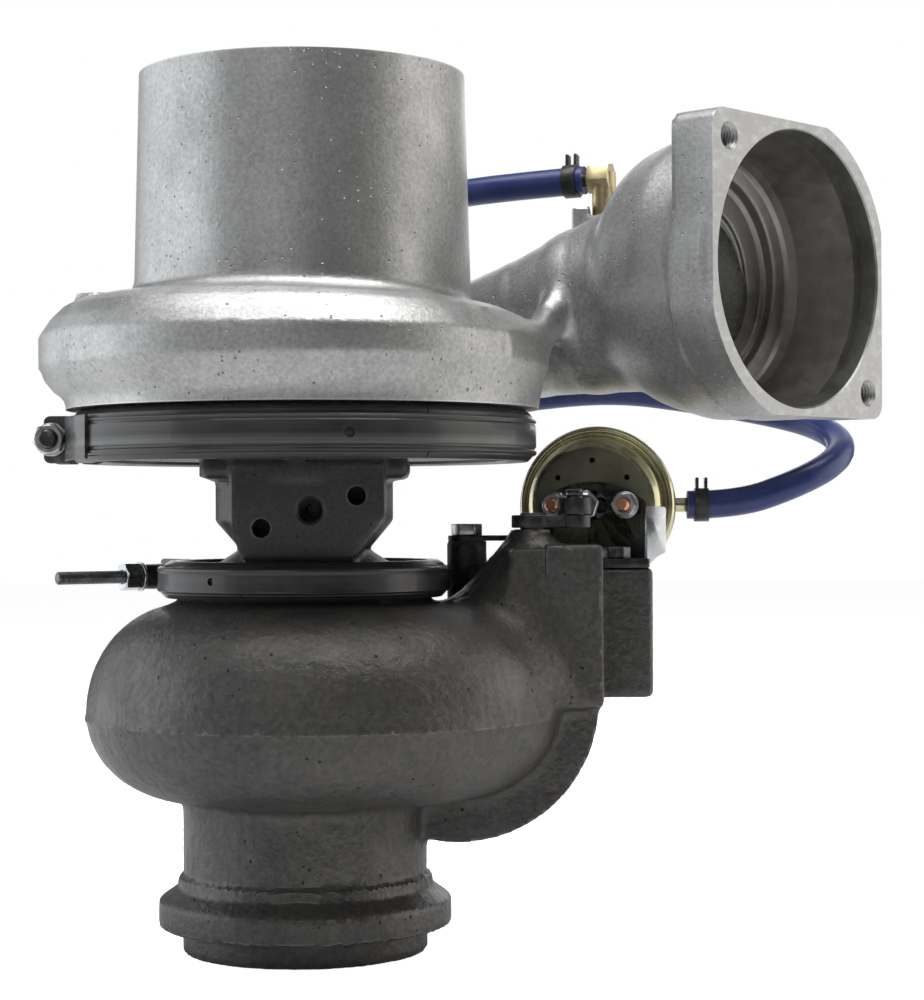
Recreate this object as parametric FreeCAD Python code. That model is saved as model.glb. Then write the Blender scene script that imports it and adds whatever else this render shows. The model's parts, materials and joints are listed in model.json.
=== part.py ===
import FreeCAD, Part
import math
import os

from FreeCAD import Placement, Rotation, Vector

# A wastegated diesel turbocharger, in millimetres.
# The origin is the centre of the turbine outlet's end face, +Z runs up the rotor axis to the
# compressor inlet, +X points towards the wastegate side and +Y towards the manifold side.

os.makedirs("parts", exist_ok=True)

UP = Vector(0, 0, 1)
RIGHT = Vector(1, 0, 0)
FRONT = Vector(0, -1, 0)
BACK = Vector(0, 1, 0)

# ---------------------------------------------------------------- driving dimensions
# stations up the rotor axis
turbine_joint = 173.5          # turbine housing meets the bearing housing
bearing_length = 65.2          # from the turbine joint to the backplate joint
compressor_length = 170.3      # from the backplate joint to the inlet's end face
compressor_joint = turbine_joint + bearing_length
inlet_face = compressor_joint + compressor_length

# fits
running_gap = 0.04             # radial clearance of an oil-film bearing
seal_gap = 0.05                # radial clearance around a piston ring or a rotating collar
slide_gap = 0.08               # radial clearance of the wastegate shaft
end_gap = 0.1                  # axial clearance of a thrust face
pin_gap = 0.4                  # radial clearance of the rod eye on the lever pin
blade_gap = 0.6                # wheel tip to shroud
part_gap = 0.3                 # pieces that pass each other without touching

# rotor
journal_radius = 7.5
bearing_outer_radius = 12.0
bearing_width = 12.0
shaft_end_radius = 5.5
collar_radius = 11.0
turbine_tip_radius = 44.0
turbine_exit_radius = 38.0
turbine_tip_height = 12.0
turbine_wheel_height = 44.0
turbine_blades = 11
compressor_tip_radius = 51.0
compressor_eye_radius = 38.0
compressor_tip_height = 6.5
compressor_wheel_height = 42.0
compressor_blades = 7
blade_thickness = 1.4

# turbine housing
outlet_radius = 57.15
outlet_bore_radius = 50.0
ring_radius = 68.4
ring_base = 12.0
ring_height = 12.2
neck_radius = 57.0
volute_middle = 118.0
volute_half_height = 45.0
turbine_flange_radius = 65.0
register_radius = 55.0         # spigot that centres the bearing housing in the turbine housing
register_depth = 5.0
inlet_plate_width = 87.3
inlet_plate_height = 62.1
inlet_plate_thickness = 22.0
inlet_plate_front = 16.0       # cast side of the manifold flange, along Y
inlet_plate_middle_x = 121.65
inlet_plate_middle_z = 146.25
inlet_bolt_spacing_x = 72.0
inlet_bolt_spacing_z = 42.0
inlet_bolt_radius = 4.75
inlet_port_width = 46.0
inlet_port_height = 34.0
block_right = 139.2            # wastegate chamber block
block_left = 92.0
block_front = -25.0
block_bottom = 114.3
block_top = 188.7
chamber_wall = 3.0
chamber_floor = 139.0
bypass_outer_radius = 65.5
bypass_gap = 10.0
bypass_wall = 5.0
bypass_centre_x = 72.0
bypass_centre_z = 116.4
bypass_front = -15.0
bypass_back = 25.0

# bearing housing
core_radius = 41.4
waist_radius = 30.0
collar_flange_radius = 48.9
oil_pad_left = -29.6
oil_pad_right = 39.5
oil_pad_front = -50.0
oil_pad_bottom = turbine_joint + 8.8
oil_pad_top = compressor_joint - 11.5
oil_pad_chamfer = 15.0
oil_hole_radius = 5.6
oil_hole_x = 6.0
oil_hole_z = turbine_joint + 31.9
oil_hole_depth = 12.0
oil_passage_radius = 3.0
oil_bolt_radius = 4.25
oil_bolt_left = (-16.2, oil_hole_z - 8.0)
oil_bolt_right = (26.9, oil_hole_z + 6.5)
oil_bolt_depth = 18.0
drain_pad_back = 52.0
drain_pad_radius = 31.0
drain_hole_radius = 15.0
drain_hole_depth = 16.0
drain_passage_radius = 9.0
drain_bolt_spacing = 44.0
drain_bolt_radius = 4.25

# compressor housing and backplate
inlet_radius = 76.2
inlet_bore_radius = 70.2
inlet_land = 30.0
inlet_root_radius = 79.2
body_radius = 123.5
body_flange_radius = 110.2
scroll_middle = compressor_joint + 36.3
backplate_radius = 84.0
joint_flange_radius = 101.5
lip_height = 13.6              # from the joint to the housing's lower edge
band_outer_radius = joint_flange_radius + 7.9
scroll_floor = 4.0             # metal left under the scroll, above the lower edge
discharge_x = 234.5
discharge_y = 0.0
discharge_z = compressor_joint + 79.2
discharge_turn = 47.5          # degrees the face turns from the front towards +X
discharge_half = 69.7
discharge_corner = 8.0
discharge_bore_radius = 65.2
discharge_land = 10.0
discharge_depth = 60.0
discharge_plate = 24.0
discharge_bolt_reach = 80.0    # from the face's centre to each tapped corner
discharge_bolt_radius = 5.1
discharge_bolt_depth = 20.0

# clamp bands
strap_thickness = 1.8
flange_step = 6.0              # radial depth of a V flange
flange_rise = 2.6              # how much it thickens over that depth
turbine_flange_edge = 3.2      # half thickness of the flange pair at its rim
compressor_flange_edge = 4.5
groove_gap = 0.1
turbine_band_radius = turbine_flange_radius + 3.7
turbine_band_bolt_radius = 3.15
turbine_band_angle = 125.0
compressor_band_bolt_radius = 4.2
compressor_band_angle = 180.0

# wastegate and actuator
lever_x = 107.0
lever_y = -3.0
lever_bottom = 196.7
lever_thickness = 6.0
lever_reach = 20.0
lever_rest = -4.1              # degrees of the lever at rest, seen from above
lever_pin_radius = 4.0
wastegate_shaft_radius = 5.5
bushing_radius = 8.5
boss_radius = 13.0
flap_radius = 10.0
flap_thickness = 6.0
flap_x = 124.0
flap_seat_y = 8.0
flap_z = 155.0
arm_radius = 7.5
port_radius = 7.5
can_x = 141.4
can_y = 60.0
can_z = 207.4
can_turn = 15.6                # degrees the can's axis turns from the front towards -X
can_radius = 38.9
can_face_radius = 29.0
can_wall = 1.5
can_front_depth = 12.0
can_rear_depth = 30.0
nipple_y = 71.5
stud_spacing = 35.0
stud_radius = 3.2
rod_radius = 4.0
spring_radius = 12.0
spring_wire_radius = 0.9
spring_pitch = 4.0
spring_length = 14.0
spring_steps = 20              # straight pieces in one turn of the spring
rod_core_radius = 3.2
rod_eye_radius = 8.0
socket_length = 14.0
bracket_thickness = 4.3
bracket_left = 107.5
bracket_top = 219.5
bracket_bolt_x = 147.9
bracket_bolt_y = 27.0
left_boss_x = 76.5
left_boss_y = 31.0
left_boss_top = 190.4
left_boss_radius = 9.5
bracket_bolt_radius = 4.0
bolt_head_across = 13.0
bolt_head_height = 5.6

# boost hose, from the fitting on the discharge duct to the actuator's nipple
hose_radius = 7.1
hose_bore_radius = 3.6
fitting_x = 150.0
fitting_y = 72.0
fitting_base = scroll_middle + 77.0
hose_route = [
    (137.0, 78.0, 371.0),
    (103.0, 92.0, 370.0),
    (66.0, 112.0, 368.0),
    (28.0, 132.0, 363.0),
    (-10.0, 148.0, 344.0),
    (-20.0, 153.0, 302.0),
    (8.0, 156.0, 266.0),
    (56.0, 157.0, 257.0),
    (106.0, 155.0, 265.0),
    (156.0, 154.0, 269.5),
    (201.0, 157.0, 263.5),
    (240.0, 156.0, 256.5),
    (263.0, 139.0, 249.0),
    (272.0, 112.0, 239.0),
    (263.0, 85.0, 228.0),
    (240.0, 71.5, 217.0),
    (212.0, 71.5, 207.4),
    (187.0, 71.5, 207.4),
]


# ---------------------------------------------------------------- helpers
def export(name, shape):
    """Write one node, with its placement worked into the solids."""
    Part.Compound(shape.Solids).copy().exportStep("parts/" + name + ".step")
    if not shape.isValid() or not shape.Solids:
        print("CHECK", name, shape.isValid(), len(shape.Solids))


def placed(shape, base, direction):
    """Move a shape drawn at the origin along +Z to a base point and direction."""
    moved = shape.copy()
    moved.Placement = Placement(base, Rotation(UP, direction)).multiply(moved.Placement)
    return moved


def face(points):
    return Part.Face(Part.makePolygon([Vector(*p) for p in points + points[:1]]))


def turned(profile, angle=360.0, start=0.0):
    """Revolve (radius, height) points about +Z, from a start angle."""
    outline = face([(r, 0, z) for r, z in profile])
    solid = outline.revolve(Vector(), UP, angle)
    return solid.rotate(Vector(), UP, start) if start else solid


def ring(inner, outer, bottom, top):
    return turned([(inner, bottom), (outer, bottom), (outer, top), (inner, top)])


def disc(radius, base, direction, length):
    return Part.makeCylinder(radius, length, base, direction)


def block(low, high):
    size = [b - a for a, b in zip(low, high)]
    return Part.makeBox(*size, Vector(*low))


def rounded(shape, direction, radius):
    """Round the edges of a box that run along a direction."""
    edges = [e for e in shape.Edges
             if abs(abs(e.tangentAt(e.FirstParameter).dot(direction)) - 1) < 1e-6]
    return shape.makeFillet(radius, edges)


def hexagon(across, height):
    """A hexagonal prism on the origin, along +Z."""
    corner = across / 2 / math.cos(math.radians(30))
    points = [(corner * math.cos(math.radians(60 * i)), corner * math.sin(math.radians(60 * i)), 0)
              for i in range(6)]
    return face(points).extrude(Vector(0, 0, height))


def nut(across, height, bore):
    return hexagon(across, height).cut(disc(bore, Vector(), UP, height))


def polar(radius, angle, height=0.0):
    turn = math.radians(angle)
    return Vector(radius * math.cos(turn), radius * math.sin(turn), height)


def section(radius, half_width, half_height, angle, height):
    """An upright elliptical section of a scroll, at an angle about the rotor axis."""
    wide = half_width >= half_height
    curve = Part.Ellipse(Vector(), max(half_width, half_height), min(half_width, half_height))
    edge = curve.toShape()
    if not wide:
        edge.rotate(Vector(), UP, 90)
    edge.rotate(Vector(), RIGHT, 90)
    edge.translate(Vector(radius, 0, height))
    edge.rotate(Vector(), UP, angle)
    return Part.Wire([edge])


def scroll(stations):
    return Part.makeLoft([section(*s) for s in stations], True, False)


def round_loft(stations):
    """A duct through circles given as (centre, direction, radius)."""
    wires = []
    for centre, direction, radius in stations:
        circle = Part.Circle(Vector(*centre), Vector(*direction), radius)
        wires.append(Part.Wire([circle.toShape()]))
    return Part.makeLoft(wires, True, False)


def smooth_path(route):
    """Straight runs joined by tangent arcs; also gives the arc radii."""
    points = [Vector(*p) for p in route]
    edges, radii, last = [], [], points[0]
    for before, corner, after in zip(points, points[1:], points[2:]):
        into, out = corner - before, after - corner
        turn = into.getAngle(out)
        radius = 0.45 * min(into.Length, out.Length) / math.tan(turn / 2)
        reach = radius * math.tan(turn / 2)
        start = corner - into.normalize() * reach
        end = corner + out.normalize() * reach
        bisector = ((start + end) * 0.5 - corner).normalize()
        middle = corner + bisector * (radius / math.cos(turn / 2) - radius)
        edges += [Part.LineSegment(last, start).toShape(), Part.Arc(start, middle, end).toShape()]
        radii.append(radius)
        last = end
    edges.append(Part.LineSegment(last, points[-1]).toShape())
    return Part.Wire(edges), radii


# ---------------------------------------------------------------- rotor
wheel_back = turbine_joint - 17.5            # turbine wheel's back face
compressor_back = compressor_joint + 11.0    # compressor wheel's back face
shaft_root = turbine_joint - 2.0
journal_top = compressor_joint - 13.5
nut_height = 9.0
wheel_top = compressor_back + compressor_wheel_height
shaft_tip = wheel_top + nut_height + 4.0


def blade_ring(outline, count, first=0.0):
    """Flat blades of one outline, spaced round the axis."""
    blades = []
    for i in range(count):
        blade = face([(r, -blade_thickness / 2, z) for r, z in outline])
        blade = blade.extrude(Vector(0, blade_thickness, 0))
        blade.rotate(Vector(), UP, first + 360.0 * i / count)
        blades.append(blade)
    return blades


def build_rotor():
    tip_low = wheel_back - 1.0 - turbine_tip_height
    wheel_low = wheel_back - turbine_wheel_height
    hub = turned([(0, wheel_low - 4), (7, wheel_low - 4), (10, wheel_low), (11, wheel_low + 18),
                  (15, wheel_low + 30), (24, wheel_low + 38), (40, wheel_back - 1.5),
                  (40, wheel_back), (16, wheel_back), (collar_radius, wheel_back + 4),
                  (collar_radius, shaft_root - 6), (0, shaft_root - 6)])
    blades = blade_ring([(8, wheel_low), (turbine_exit_radius, wheel_low),
                         (turbine_exit_radius, wheel_low + 16), (turbine_tip_radius, tip_low),
                         (turbine_tip_radius, wheel_back - 1), (20, wheel_back - 1)],
                        turbine_blades)
    export("turbine_wheel", hub.fuse(blades).removeSplitter())

    groove = 1.8
    export("rotor_shaft", turned([
        (0, shaft_root - 6), (collar_radius, shaft_root - 6), (collar_radius, shaft_root + 1),
        (collar_radius - 2.5, shaft_root + 1), (collar_radius - 2.5, shaft_root + 1 + groove),
        (collar_radius, shaft_root + 1 + groove), (collar_radius, shaft_root + 9),
        (journal_radius, shaft_root + 11), (journal_radius, journal_top),
        (shaft_end_radius, journal_top), (shaft_end_radius, shaft_tip), (0, shaft_tip)]))
    export("turbine_piston_ring", split_ring(collar_radius - 2.5 + part_gap,
                                             collar_radius + seal_gap,
                                             shaft_root + 1 + 0.15, shaft_root + 1 + groove - 0.15))

    export("thrust_collar", ring(shaft_end_radius, 15.0, journal_top, journal_top + 2.4)
           .fuse(ring(shaft_end_radius, 10.0, journal_top + 2.4, journal_top + 4.8)).removeSplitter())
    flinger_low = journal_top + 4.8
    seal_low = compressor_joint + 1.5
    export("oil_flinger", turned([
        (shaft_end_radius, flinger_low), (15, flinger_low), (15, flinger_low + 2.4),
        (flinger_radius, flinger_low + 4), (flinger_radius, seal_low),
        (flinger_radius - 2.5, seal_low), (flinger_radius - 2.5, seal_low + groove),
        (flinger_radius, seal_low + groove), (flinger_radius, compressor_back),
        (shaft_end_radius, compressor_back)]))
    export("compressor_piston_ring", split_ring(flinger_radius - 2.5 + part_gap,
                                                flinger_radius + seal_gap,
                                                seal_low + 0.15, seal_low + groove - 0.15))

    base = compressor_back
    hub = turned([(shaft_end_radius, base), (compressor_tip_radius, base),
                  (compressor_tip_radius, base + 1.2), (38, base + 4), (24, base + 12),
                  (15, base + 25), (12, wheel_top), (shaft_end_radius, wheel_top)])
    outline = [(8, base + 1), (compressor_tip_radius, base + 1),
               (compressor_tip_radius, base + compressor_tip_height),
               (43, base + 12), (compressor_eye_radius, base + 26),
               (compressor_eye_radius, wheel_top - 2), (8, wheel_top - 2)]
    short = [(8, base + 1), (compressor_tip_radius, base + 1),
             (compressor_tip_radius, base + compressor_tip_height),
             (43, base + 12), (compressor_eye_radius, base + 26), (8, base + 26)]
    blades = blade_ring(outline, compressor_blades)
    blades += blade_ring(short, compressor_blades, 180.0 / compressor_blades)
    bore = disc(shaft_end_radius, Vector(0, 0, base - 1), UP, compressor_wheel_height + 2)
    export("compressor_wheel", hub.fuse(blades).cut(bore).removeSplitter())
    export("compressor_wheel_nut", placed(nut(19.0, nut_height, shaft_end_radius),
                                          Vector(0, 0, wheel_top), UP))


def split_ring(inner, outer, bottom, top):
    gap = block((0, -0.6, bottom - 1), (outer + 1, 0.6, top + 1))
    return ring(inner, outer, bottom, top).cut(gap)


flinger_radius = 14.0
bearing_low = shaft_root + 15.0
bearing_high = journal_top - 2.5 - bearing_width


def build_bearings():
    for name, low in (("turbine_journal_bearing", bearing_low),
                      ("compressor_journal_bearing", bearing_high)):
        body = ring(journal_radius + running_gap, bearing_outer_radius, low, low + bearing_width)
        for i in range(6):
            hole = disc(1.2, Vector(0, 0, low + bearing_width / 2), polar(1, 60 * i), 20)
            body = body.cut(hole)
        export(name, body)
    rings = []
    for low in (bearing_low - 1.4 - end_gap, bearing_low + bearing_width + end_gap,
                bearing_high - 1.4 - end_gap):
        rings.append(split_ring(bearing_outer_radius - 2.0, bearing_outer_radius + 1.0,
                                low, low + 1.4))
    export("bearing_retaining_rings", Part.Compound(rings))


# ---------------------------------------------------------------- bearing housing
thrust_low = journal_top + 2.4 + end_gap
thrust_radius = 26.0
neck_low = turbine_joint - 12.0
shield_wall = 1.4
shield_bore = 17.0


def build_bearing_housing():
    low, high = turbine_joint, compressor_joint
    body = turned([
        (0, neck_low), (27, neck_low), (33, low - register_depth),
        (register_radius, low - register_depth), (register_radius, low),
        (turbine_flange_radius, low), (turbine_flange_radius, low + turbine_flange_edge),
        (turbine_flange_radius - flange_step, low + turbine_flange_edge + flange_rise),
        (50, low + turbine_flange_edge + flange_rise), (40, low + 7.5),
        (waist_radius, low + 14), (core_radius, low + 27), (core_radius, high - 19.5),
        (collar_flange_radius, high - 17.5), (collar_flange_radius, high - 9),
        (joint_flange_radius - flange_step - 4, high - 9),
        (joint_flange_radius - flange_step, high - compressor_flange_edge - flange_rise),
        (joint_flange_radius, high - compressor_flange_edge), (joint_flange_radius, high),
        (0, high)])
    pad = face([(oil_pad_left, 0, oil_pad_top), (oil_pad_left, 0, oil_pad_bottom + 12),
                (oil_pad_left + 6, 0, oil_pad_bottom), (oil_pad_right - oil_pad_chamfer, 0, oil_pad_bottom),
                (oil_pad_right, 0, oil_pad_bottom + oil_pad_chamfer + 5), (oil_pad_right, 0, oil_pad_top)])
    pad = pad.extrude(Vector(0, oil_pad_front, 0))
    drain = disc(drain_pad_radius, Vector(0, 0, oil_hole_z), BACK, drain_pad_back)
    drain = drain.common(block((-60, 0, oil_pad_bottom), (60, 60, high - 8)))
    body = body.fuse([pad, drain])

    cuts = [disc(collar_radius + seal_gap, Vector(0, 0, neck_low - 1), UP, 30),
            disc(bearing_outer_radius + running_gap, Vector(0, 0, shaft_root + 12), UP,
                 journal_top - shaft_root - 12),
            ring(0, 24.0, journal_top - 1.5, thrust_low),
            ring(0, thrust_radius, thrust_low, thrust_low + 2.2),
            ring(0, 34.0, thrust_low + 2.2, high)]
    for low_ring in (bearing_low - 1.4 - end_gap, bearing_low + bearing_width + end_gap,
                     bearing_high - 1.4 - end_gap):
        cuts.append(ring(0, bearing_outer_radius + 1.0, low_ring, low_ring + 1.4))
    oil_mouth = Vector(oil_hole_x, oil_pad_front - 1, oil_hole_z)
    cuts.append(disc(oil_hole_radius, oil_mouth, BACK, oil_hole_depth + 1))
    cuts.append(disc(oil_passage_radius, oil_mouth, BACK, -oil_pad_front - bearing_outer_radius + 4))
    for x, z in (oil_bolt_left, oil_bolt_right):
        cuts.append(disc(oil_bolt_radius, Vector(x, oil_pad_front - 1, z), BACK, oil_bolt_depth + 1))
    drain_mouth = Vector(0, drain_pad_back + 1, oil_hole_z)
    cuts.append(disc(drain_hole_radius, drain_mouth, FRONT, drain_hole_depth + 1))
    cuts.append(disc(drain_passage_radius, drain_mouth, FRONT, drain_pad_back - bearing_outer_radius + 2))
    for side in (-1, 1):
        cuts.append(disc(drain_bolt_radius,
                         Vector(side * drain_bolt_spacing / 2, drain_pad_back + 1, oil_hole_z),
                         FRONT, oil_bolt_depth + 1))
    gallery = ring(bearing_outer_radius + 5, core_radius - 7, oil_hole_z - 9, oil_hole_z + 9)
    keep = block((-60, -60, 0), (60, -6, 400))
    cuts.append(gallery.cut(keep))
    for cutter in cuts:
        body = body.cut(cutter)
    export("bearing_housing", body.removeSplitter())
    export("thrust_bearing", ring(10.0 + seal_gap, thrust_radius, thrust_low, thrust_low + 2.2))
    shield_low = wheel_back + 1.5
    shield_rim = turbine_joint - register_depth
    export("heat_shield", turned([
        (shield_bore, shield_low), (38, shield_low), (44, shield_low + 2),
        (47, shield_rim - shield_wall), (register_radius - part_gap, shield_rim - shield_wall),
        (register_radius - part_gap, shield_rim), (46, shield_rim), (43, shield_low + 2 + shield_wall),
        (37.5, shield_low + shield_wall), (shield_bore, shield_low + shield_wall)]))


# ---------------------------------------------------------------- turbine housing
def build_turbine_housing():
    high = turbine_joint
    flange = turbine_flange_radius
    body = turned([
        (0, 0), (outlet_radius, 0), (outlet_radius, ring_base), (ring_radius, ring_base),
        (ring_radius, ring_base + ring_height), (59.6, ring_base + ring_height + 6.1),
        (59.6, ring_base + 22.6), (neck_radius, ring_base + 22.6), (neck_radius, 84),
        (70, 92), (70, 150), (flange - flange_step, high - 10.5),
        (flange - flange_step, high - turbine_flange_edge - flange_rise),
        (flange, high - turbine_flange_edge), (flange, high), (0, high)])
    middle, tall = volute_middle, volute_half_height
    outer = scroll([(75, 45, tall + 1, 12, middle - 1), (74, 46, tall + 2, -5, middle - 1),
                    (70, 46, tall + 1, -45, middle), (64, 46, tall, -90, middle),
                    (60, 45, tall, -135, middle), (55.7, 45, tall, -180, middle),
                    (52, 43, tall - 1, -225, middle), (48, 41, tall - 3, -270, middle),
                    (44, 38, tall - 6, -315, middle)])
    body = body.fuse(outer)
    chamber = block((block_left, block_front, block_bottom),
                    (block_right, inlet_plate_front + 2, block_top))
    chamber = rounded(chamber, UP, 3.0)
    plate = block((inlet_plate_middle_x - inlet_plate_width / 2, inlet_plate_front,
                   inlet_plate_middle_z - inlet_plate_height / 2),
                  (inlet_plate_middle_x + inlet_plate_width / 2,
                   inlet_plate_front + inlet_plate_thickness,
                   inlet_plate_middle_z + inlet_plate_height / 2))
    plate = rounded(plate, BACK, 6.0)
    boss = disc(boss_radius, Vector(lever_x, lever_y, volute_middle + 25), UP,
                lever_bottom - 0.7 - volute_middle - 25)
    left_boss = disc(left_boss_radius, Vector(left_boss_x, left_boss_y, volute_middle), UP,
                     left_boss_top - volute_middle)
    arm = block((left_boss_x - 4, inlet_plate_front + 4, volute_middle + 10),
                (bracket_left + 6, left_boss_y + 5, inlet_plate_middle_z + inlet_plate_height / 2 - 4))
    body = body.fuse([chamber, plate, boss, left_boss, arm])
    duct = turned_about_bypass(bypass_outer_radius, bypass_outer_radius - bypass_gap - 2 * bypass_wall,
                               bypass_front, bypass_back)
    lead = block((30, bypass_front, bypass_centre_z - bypass_outer_radius),
                 (bypass_centre_x, bypass_back,
                  bypass_centre_z - bypass_outer_radius + bypass_gap + 2 * bypass_wall))
    body = body.fuse([duct, lead])

    # the gas path: outlet, wheel shroud, nozzle, scroll and inlet
    tip_low = wheel_back - 1.0 - turbine_tip_height
    wheel_low = wheel_back - turbine_wheel_height
    path = turned([
        (0, -1), (outlet_bore_radius, -1), (outlet_bore_radius, 60),
        (turbine_exit_radius + 3, wheel_low - 6), (turbine_exit_radius + blade_gap, wheel_low),
        (turbine_exit_radius + blade_gap, wheel_low + 16), (turbine_tip_radius + blade_gap, tip_low),
        (52, tip_low - 4), (52, high - register_depth - shield_wall),
        (register_radius + seal_gap, high - register_depth - shield_wall),
        (register_radius + seal_gap, high + 1), (0, high + 1)])
    inner = scroll([(80, 26, 28, 12, middle + 2), (79, 26, 28, -5, middle + 2),
                    (77, 27, 27, -45, middle + 4), (73, 25, 26, -90, middle + 6),
                    (70, 22, 24, -135, middle + 8), (66, 19, 22, -180, middle + 10),
                    (63, 16, 20, -225, middle + 12), (60, 13, 18, -270, middle + 13),
                    (57, 10, 16, -315, middle + 14)])
    plate_back = inlet_plate_front + inlet_plate_thickness
    mouth = block((inlet_plate_middle_x - inlet_port_width / 2, 12,
                   inlet_plate_middle_z - inlet_port_height / 2),
                  (inlet_plate_middle_x + inlet_port_width / 2, plate_back + 1,
                   inlet_plate_middle_z + inlet_port_height / 2))
    mouth = rounded(mouth, BACK, 10.0)
    throat = round_loft([((inlet_plate_middle_x - 4, 28, inlet_plate_middle_z - 2), (-0.2, -1, 0), 16),
                         ((98, 14, 136), (-0.6, -1, -0.4), 18), ((82, 0, 124), (-0.2, -1, -0.1), 22)])
    room = block((lever_x - arm_radius - 1, block_front + chamber_wall, chamber_floor),
                 (block_right - chamber_wall + 0.6, flap_seat_y, block_top - 12))
    port = disc(port_radius, Vector(flap_x, flap_seat_y - 1, flap_z), BACK, 14)
    drop = block((block_right - chamber_wall - bypass_gap, bypass_front + bypass_wall, bypass_centre_z - 1),
                 (block_right - chamber_wall, flap_seat_y, chamber_floor + 1))
    cavity = turned_about_bypass(bypass_outer_radius - bypass_wall,
                                 bypass_outer_radius - bypass_wall - bypass_gap,
                                 bypass_front + bypass_wall, bypass_back - bypass_wall)
    tail = block((40, bypass_front + bypass_wall,
                  bypass_centre_z - bypass_outer_radius + bypass_wall),
                 (bypass_centre_x, bypass_back - bypass_wall,
                  bypass_centre_z - bypass_outer_radius + bypass_wall + bypass_gap))
    shaft_hole = disc(bushing_radius, Vector(lever_x, lever_y, block_top - 20), UP, 40)
    cutters = [path, inner, mouth, throat, room, port, drop, cavity, tail, shaft_hole]
    for x in (-1, 1):
        for z in (-1, 1):
            cutters.append(disc(inlet_bolt_radius, Vector(
                inlet_plate_middle_x + x * inlet_bolt_spacing_x / 2, inlet_plate_front - 1,
                inlet_plate_middle_z + z * inlet_bolt_spacing_z / 2), BACK, inlet_plate_thickness + 2))
    plate_top = inlet_plate_middle_z + inlet_plate_height / 2
    cutters.append(disc(bracket_bolt_radius, Vector(bracket_bolt_x, bracket_bolt_y, plate_top - 14),
                        UP, 15))
    cutters.append(disc(bracket_bolt_radius, Vector(left_boss_x, left_boss_y, left_boss_top - 18),
                        UP, 19))
    for cutter in cutters:
        body = body.cut(cutter)
    export("turbine_housing", body.removeSplitter())
    export("wastegate_bushing", placed(ring(wastegate_shaft_radius + slide_gap, bushing_radius, 0,
                                            lever_bottom - 0.7 - block_top + 12),
                                       Vector(lever_x, lever_y, block_top - 12), UP))


def turned_about_bypass(outer, inner, front, back):
    """A quarter of a ring about a line along Y: the bypass elbow or the space inside it."""
    outline = face([(bypass_centre_x + inner, front, bypass_centre_z),
                    (bypass_centre_x + outer, front, bypass_centre_z),
                    (bypass_centre_x + outer, back, bypass_centre_z),
                    (bypass_centre_x + inner, back, bypass_centre_z)])
    return outline.revolve(Vector(bypass_centre_x, 0, bypass_centre_z), BACK, 90)


# ---------------------------------------------------------------- compressor housing
face_centre = Vector(discharge_x, discharge_y, discharge_z)
face_normal = Vector(math.sin(math.radians(discharge_turn)), -math.cos(math.radians(discharge_turn)), 0)
face_right = Vector(math.cos(math.radians(discharge_turn)), math.sin(math.radians(discharge_turn)), 0)


def on_face(right, up, out=0.0):
    return face_centre + face_right * right + UP * up + face_normal * out


def discharge_outline(out):
    """Square with two sharp tapped corners and two corners swept round the bore."""
    half, round_radius = discharge_half, discharge_corner
    reach = math.sqrt((half + 3.0) ** 2 - half ** 2)
    diagonal = (half + 3.0) / math.sqrt(2)
    edge_a = half - round_radius
    bow = round_radius * (1 - 1 / math.sqrt(2))

    def p(right, up):
        return on_face(right, up, out)

    edges = [
        Part.LineSegment(p(-edge_a, half), p(reach, half)).toShape(),
        Part.Arc(p(reach, half), p(diagonal, diagonal), p(half, reach)).toShape(),
        Part.LineSegment(p(half, reach), p(half, -edge_a)).toShape(),
        Part.Arc(p(half, -edge_a), p(half - bow, -half + bow), p(edge_a, -half)).toShape(),
        Part.LineSegment(p(edge_a, -half), p(-reach, -half)).toShape(),
        Part.Arc(p(-reach, -half), p(-diagonal, -diagonal), p(-half, -reach)).toShape(),
        Part.LineSegment(p(-half, -reach), p(-half, edge_a)).toShape(),
        Part.Arc(p(-half, edge_a), p(-half + bow, half - bow), p(-edge_a, half)).toShape(),
    ]
    return Part.Wire(edges)


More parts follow.
